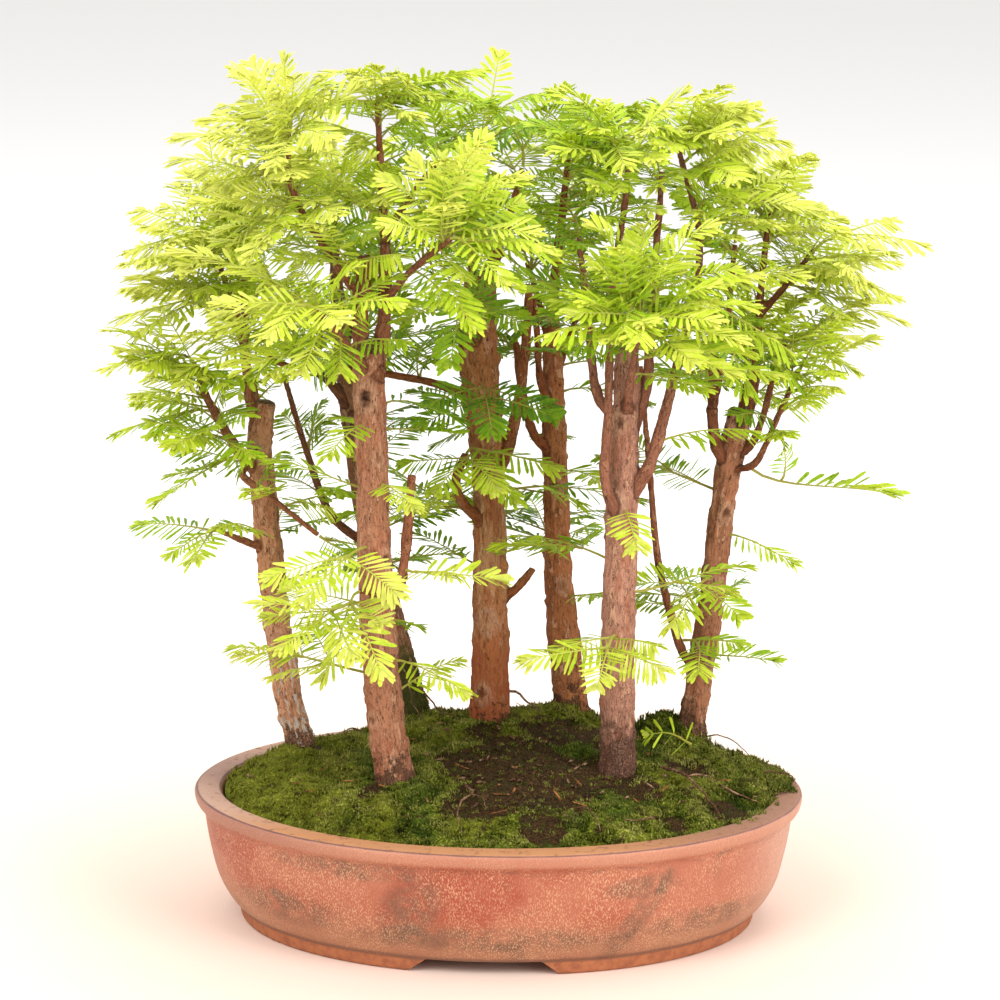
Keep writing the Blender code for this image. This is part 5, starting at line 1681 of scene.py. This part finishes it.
def inside_crown(point):
    """Whether a place is within the crown's outline from the front and its oval from above."""
    offset = point - CROWN_MIDDLE
    inside = False
    height = seen_height(point)
    for (x, z), (next_x, next_z) in zip(CROWN_OUTLINE, CROWN_OUTLINE[1:] + CROWN_OUTLINE[:1]):
        if (z > height) != (next_z > height):
            crossing = x + (next_x - x) * (height - z) / (next_z - z)
            inside = inside != (crossing > point.x)
    return inside and (offset.x / CROWN_HALF_X) ** 2 + (offset.y / CROWN_HALF_Y) ** 2 <= 1.0


def shoot_tips(chance):
    """Tips spread evenly through the crown, each well apart from the others."""
    tips = []
    for _ in range(CROWN_TRIES):
        tip = CROWN_MIDDLE + Vector((chance.uniform(-1, 1) * CROWN_HALF_X,
                                     chance.uniform(-1, 1) * CROWN_HALF_Y,
                                     chance.uniform(CROWN_LOW, CROWN_TOP)))
        grown = (tip.z - CROWN_LOW) / (CROWN_FULL - CROWN_LOW)
        if chance.random() > max(0.0, grown) ** 1.5 or not inside_crown(tip):
            continue
        window = WINDOW_LEFT < tip.x < WINDOW_RIGHT and WINDOW_LOW < seen_height(tip) < WINDOW_HIGH
        if window and tip.y < -20.0 and chance.random() < WINDOW_BARE:
            continue
        if all((tip - other).length > SHOOT_APART for other in tips):
            tips.append(tip)
    return tips


def springing_places():
    """Places on the wood where a shoot can spring, with the direction there and the tree."""
    wood = [(*limb_line(name, SPRING_SPACING), 0.25, LIMBS[name][0]) for name in LIMBS]
    wood += [(*trunk_line(tree, SPRING_SPACING), 0.75, tree) for tree in TRUNKS]
    places = []
    for line, radii, from_share, tree in wood:
        for k in range(int(len(line) * from_share), len(line) - 1):
            places.append((line[k], (line[k + 1] - line[k]).normalized(), radii[k], tree))
    for spray, fronds in leafy_stems.items():
        for k in range(2, int(fronds[0].bare / SPRING_SPACING)):
            point, ahead, _, _ = fronds[0].at(k * SPRING_SPACING)
            places.append((point, ahead, 0.6, int(spray[len("spray_")])))
    return places


def shoot_to(tip, place, chance):
    """A shoot from a springing place to its tip."""
    point, ahead, radius, tree = place
    chord = tip - point
    leaving = chord - ahead * chord.dot(ahead) + UP * chord.length * 0.25
    leaving = (leaving.normalized() + ahead * 0.5).normalized()
    line = bent_line(point + leaving * radius * 0.4, leaving, tip)
    whole = marks_along(line)[-1]
    facing = UP + outward(tip, tree) * chance.uniform(0.1, 0.8)
    facing += Vector((chance.gauss(0.0, 0.18), chance.gauss(0.0, 0.18), 0.0))
    leafy = min(FROND_LENGTH * chance.uniform(0.78, 1.02), whole - 5.0)
    return Frond(line, whole - leafy, facing)


def shoot_sides(main, chance):
    """Fronds in pairs down the shoot's stem, left and right."""
    fronds = []
    start = main.bare - 1.0
    while start > 7.0:
        for hand in (-1.0, 1.0):
            root, ahead, side, up = main.at(start - chance.uniform(0.0, 2.0))
            angle = math.radians(chance.uniform(42.0, 66.0))
            chord = ahead * math.cos(angle) + side * hand * math.sin(angle)
            chord += up * chance.gauss(0.05, 0.12)
            length = SIDE_FROND_LENGTH * chance.uniform(0.72, 1.02)
            line = drooping_line(root, chord * length, chance.uniform(2.0, 8.0))
            fronds.append(Frond(line, 3.5, main.facing + up * chance.uniform(-0.2, 0.2)))
        start -= PAIR_SPACING * chance.uniform(0.85, 1.25)
    return fronds


def clear_of_wood(frond, skip):
    shape = frond.envelope(skip)
    return not any(shape.overlap(other) for other in wood_room)


def best_spring(tip, places):
    """Which place a shoot to this tip springs from, and how far away it is: near, but not too
    near, and rather from below."""
    away = np.array(tip) - np.array([place[0] for place in places])
    reach = np.linalg.norm(away, axis=1)
    cost = reach + 0.7 * np.maximum(0.0, 8.0 - away[:, 2])
    cost += np.where(reach < SHOOT_SHORTEST, 60.0, 0.0)
    best = int(np.argmin(cost))
    return best, reach[best]


def grow_crown():
    """The fronds of each tree's crown: nearest tips first, so that later shoots can branch."""
    chance = random.Random(SHOOT_SEED)
    places = springing_places()
    waiting = shoot_tips(chance)
    crown = {tree: [] for tree in TRUNKS}
    grown = 0
    for _ in range(CROWN_ROUNDS):
        spots = np.array([place[0] for place in places])
        waiting.sort(key=lambda tip: np.min(np.linalg.norm(spots - np.array(tip), axis=1)))
        later = []
        for tip in waiting:
            best, reach = best_spring(tip, places)
            if reach > SHOOT_LONGEST or grown > CROWN_FRONDS:
                later.append(tip)
                continue
            main = shoot_to(tip, places[best], chance)
            if not clear_of_wood(main, min(4.0, main.bare * 0.8)):
                continue
            fronds = [main] + [frond for frond in shoot_sides(main, chance)
                               if inside_crown(frond.line[-1]) and clear_of_wood(frond, 2.5)]
            tree = places[best][3]
            crown[tree] += fronds
            grown += len(fronds)
            for step in range(2, int(main.bare / 7.0)):
                point, ahead, _, _ = main.at(step * 7.0)
                places.append((point, ahead, 0.5, tree))
        waiting = later
    return crown


def low_shoots(tree, chance):
    """Short shoots that spring from a trunk's bark below the crown, round it by turns."""
    line, radii = trunk_line(tree, 3.0)
    lowest, highest, count = LOW_SHOOTS[tree]
    fronds = []
    for number in range(count):
        height = lowest + (highest - lowest) * (number + chance.uniform(0.1, 0.9)) / count
        turn = number * GOLDEN_TURN + tree + chance.uniform(-0.5, 0.5)
        root, out = on_bark(line, radii, height, turn, 0.8)
        reach = chance.uniform(LOW_SHORTEST, LOW_LONGEST)
        tip = root + out * reach + UP * chance.uniform(-14.0, 16.0)
        stem = bent_line(root, (out + UP * chance.uniform(0.0, 0.6)).normalized(), tip)
        whole = marks_along(stem)[-1]
        facing = UP + out * chance.uniform(0.2, 0.9)
        leafy = min(FROND_LENGTH * chance.uniform(0.7, 0.95), whole - 4.0)
        main = Frond(stem, whole - leafy, facing)
        sides = shoot_sides(main, chance) if reach > LOW_BRANCHING else []
        if clear_of_wood(main, 3.5):
            fronds += [main] + [frond for frond in sides if clear_of_wood(frond, 2.5)]
    return fronds


crown_chance = random.Random(SHOOT_SEED + 1)
for tree, fronds in grow_crown().items():
    fronds += low_shoots(tree, crown_chance)
    leafy_piece(f"crown_{tree}", fronds, plain_fronds, crown_chance)


# Litter: what has dropped on the moss. Dry twigs and wiry surface roots lie over it, with a
# green sprig at the right and dead needles that have turned rust orange.

TWIGS = (                       # x, y and height over the moss along each, then its thickness
    (((80, -10, 2), (90, -24, 5), (98, -34, 4), (107, -46, 1)), 1.7),
    (((92, -27, 5), (100, -26, 7), (106, -24, 5)), 1.1),
    (((-16, -46, 1), (-13, -58, 5), (-19, -70, 4), (-17, -87, 1)), 1.4),
    (((-14, -60, 5), (-8, -66, 7), (-6, -73, 5)), 0.9),
    (((75, -66, 1), (68, -72, 3), (60, -70, 1)), 1.2),
    (((104, 44, 2), (110, 40, 8), (118, 38, 9), (125, 34, 5), (126, 30, -1)), 0.8),
    (((132, 8, 3), (138, 6, 8), (145, 2, 8), (147, -2, 4), (143, -6, 1)), 0.8),
    (((108, -18, 1), (114, -24, 5), (122, -26, 4), (127, -22, 0)), 1.3),
    (((-69, 48, 0), (-74, 44, 4), (-78, 38, 3)), 1.2),
    (((2, 51, 10), (8, 50, 9), (14, 49, 4), (22, 48, 0)), 1.6),
    (((-46, 58, 30), (-42, 50, 20), (-35, 46, 10), (-27, 50, 0), (-20, 48, 1)), 1.5),
    (((-50, 58, 30), (-46, 48, 22), (-44, 44, 10), (-38, 46, 0)), 0.8),
    (((36, -62, 0), (44, -70, 3), (49, -80, 0)), 0.9),
)
DEAD_NEEDLES = 34
DEAD_NEEDLE_LENGTH = 8.5
SPRIG = ((95, 4, 12), (84, 8, 13), (71, 12, 9))
SPRIG_PAIRS = 5
WOOD_SCRAPS = 70
SCRAP_MIDDLE_Y = -18.0
SCRAP_SPREAD_X, SCRAP_SPREAD_Y = 95.0, 62.0
LITTER_SEED = 8


def over_moss(x, y, lift):
    return Vector((x, y, max(moss_height(x, y), soil_height(x, y)) + lift))


def dry_wood():
    material, place = paint("dry_twigs")
    worn = place.clouds(0.9, 4.0, 0.65)
    sort = place.clouds(0.13, 2.0).within(0.44, 0.6)
    pale = sort.mixed((0.17, 0.07, 0.035), (0.45, 0.26, 0.15))
    colour = worn.within(0.35, 0.65).mixed((0.06, 0.028, 0.016), pale)
    coat(place, {"Base Color": colour, "Roughness": 0.85, "Specular IOR Level": 0.2,
                 "Normal": worn.bumped(0.0005)})
    return material


def dead_needle_orange():
    material, place = paint("dead_needles")
    worn = place.clouds(0.3, 3.0)
    colour = worn.within(0.4, 0.6).mixed((0.18, 0.06, 0.02), (0.5, 0.19, 0.06))
    coat(place, {"Base Color": colour, "Roughness": 0.7, "Specular IOR Level": 0.2,
                 "Normal": worn.bumped(0.0002)})
    return material


def scrap_of_wood(bm, chance):
    """A short splinter that lies somewhere on the mound, unless it would miss it."""
    turn = chance.uniform(0.0, 2.0 * math.pi)
    x = BARE_MIDDLE.x + SCRAP_SPREAD_X * chance.gauss(0.0, 0.5)
    y = SCRAP_MIDDLE_Y + SCRAP_SPREAD_Y * chance.gauss(0.0, 0.5)
    if wall_share(x, y) <= 0.92:
        half = chance.uniform(0.6, 2.3)
        along = Vector((math.cos(turn), math.sin(turn), chance.uniform(-0.3, 0.6))).normalized()
        middle = over_moss(x, y, 1.4)
        radius = chance.uniform(0.3, 0.75)
        sleeve(bm, round_rings([middle - along * half, middle, middle + along * half],
                               [radius * 0.7, radius, radius * 0.6], 5))


def make_twigs():
    """Crooked twigs and surface roots that thin to their ends, and scraps of wood."""
    noise.seed_set(LITTER_SEED)     # or each run would bend the twigs another way
    bm = bmesh.new()
    for points, thickness in TWIGS:
        line = curve_through([over_moss(*point) for point in points], 2.5)
        crooked = [point + noise.noise_vector(point / 5.0) * 0.9 for point in line]
        last = len(line) - 1
        radii = [thickness / 2.0 * (1.0 - 0.6 * k / last) for k in range(last + 1)]
        sleeve(bm, round_rings(crooked, radii, 6))
    chance = random.Random(LITTER_SEED)
    for _ in range(WOOD_SCRAPS):
        scrap_of_wood(bm, chance)
    bmesh.ops.recalc_face_normals(bm, faces=bm.faces)
    return piece("fallen_twigs", bm, dry_wood(), 180.0)


def make_dead_needles():
    """Curled dry needles wherever they dropped."""
    chance = random.Random(LITTER_SEED)
    bm = bmesh.new()
    kept = bm.verts.layers.float_vector.new("leaf")
    for _ in range(DEAD_NEEDLES):
        turn = chance.uniform(0.0, 2.0 * math.pi)
        place = oval_point(WALL_X, WALL_Y, turn) * 0.93 * math.sqrt(chance.random())
        root = over_moss(place.x, place.y, 1.8)
        turn = chance.uniform(0.0, 2.0 * math.pi)
        ahead = Vector((math.cos(turn), math.sin(turn), chance.uniform(-0.1, 0.25))).normalized()
        length = DEAD_NEEDLE_LENGTH * chance.uniform(0.5, 1.0)
        curl = Vector((chance.gauss(0, 1.5), chance.gauss(0, 1.5), chance.uniform(0.0, 2.0)))
        blade(bm, kept, FINE_NEEDLE, root, ahead, UP, length, 1.2, curl, (0.0, 0.0, 0.0))
    bmesh.ops.recalc_face_normals(bm, faces=bm.faces)
    return piece("fallen_needles", bm, dead_needle_orange(), 180.0)


twigs = make_twigs()
dead_needles = make_dead_needles()
for litter in (twigs, dead_needles):
    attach(litter, "root")
sprig_line = curve_through([over_moss(*point) for point in SPRIG], 3.0)
sparse_frond = straight_frond("sparse_frond", stem_chance, FINE_NEEDLE, 5, SPRIG_PAIRS)
leafy_piece("fallen_sprig", [Frond(sprig_line, 3.0, UP + FRONT)], [sparse_frond], stem_chance)


# Floor and light: a pale surface with a painted warm glow of light round the tray, a bright
# even room and three large soft lamps.

FLOOR_RADIUS = 9000.0
FLOOR_DROP = 0.2                # just clear of the foot ring
ROOM_LIGHT = (0.895, 0.89, 0.88, 1.0)


def make_floor():
    """A broad pale disc, a little warmer round the tray: a painted pool of warm light."""
    material, place = paint("pale_floor")
    away = place.node("ShaderNodeVectorMath", {"operation": "LENGTH"}, {0: place}, 1)
    # painted warm light: the floor near the tray coloured warmer than far off
    colour = away.within(150.0, 700.0).mixed((0.86, 0.68, 0.58), (0.88, 0.87, 0.86))
    coat(place, {"Base Color": colour, "Roughness": 0.9, "Specular IOR Level": 0.2})
    bm = bmesh.new()
    bmesh.ops.create_circle(bm, cap_ends=True, segments=96, radius=FLOOR_RADIUS)
    bmesh.ops.translate(bm, vec=(0.0, 0.0, -FLOOR_DROP), verts=bm.verts)
    return piece("floor", bm, material)


make_floor()

world = bpy.data.worlds.new("bright_room")
bpy.context.scene.world = world
bpy.context.scene.view_settings.view_transform = "Standard"
world.use_nodes = True
world.node_tree.nodes["Background"].inputs["Color"].default_value = ROOM_LIGHT
world.node_tree.nodes["Background"].inputs["Strength"].default_value = 1.0

LAMPS = (                       # place in metres, width, watts
    ("key_lamp", (-1.3, -1.7, 1.9), 1.5, 42.0),
    ("fill_lamp", (1.6, -1.3, 1.2), 1.4, 36.0),
    ("top_lamp", (0.1, 0.5, 2.3), 1.8, 30.0),
)
LAMP_AIM = Vector((0.0, 0.0, 0.22))
for name, place, width, watts in LAMPS:
    lamp = bpy.data.objects.new(name, bpy.data.lights.new(name, "AREA"))
    lamp.data.size = width
    lamp.data.energy = watts
    lamp.matrix_world = (Matrix.Translation(place)
                         @ (LAMP_AIM - Vector(place)).to_track_quat("-Z", "Y").to_matrix().to_4x4())
    bpy.context.scene.collection.objects.link(lamp)
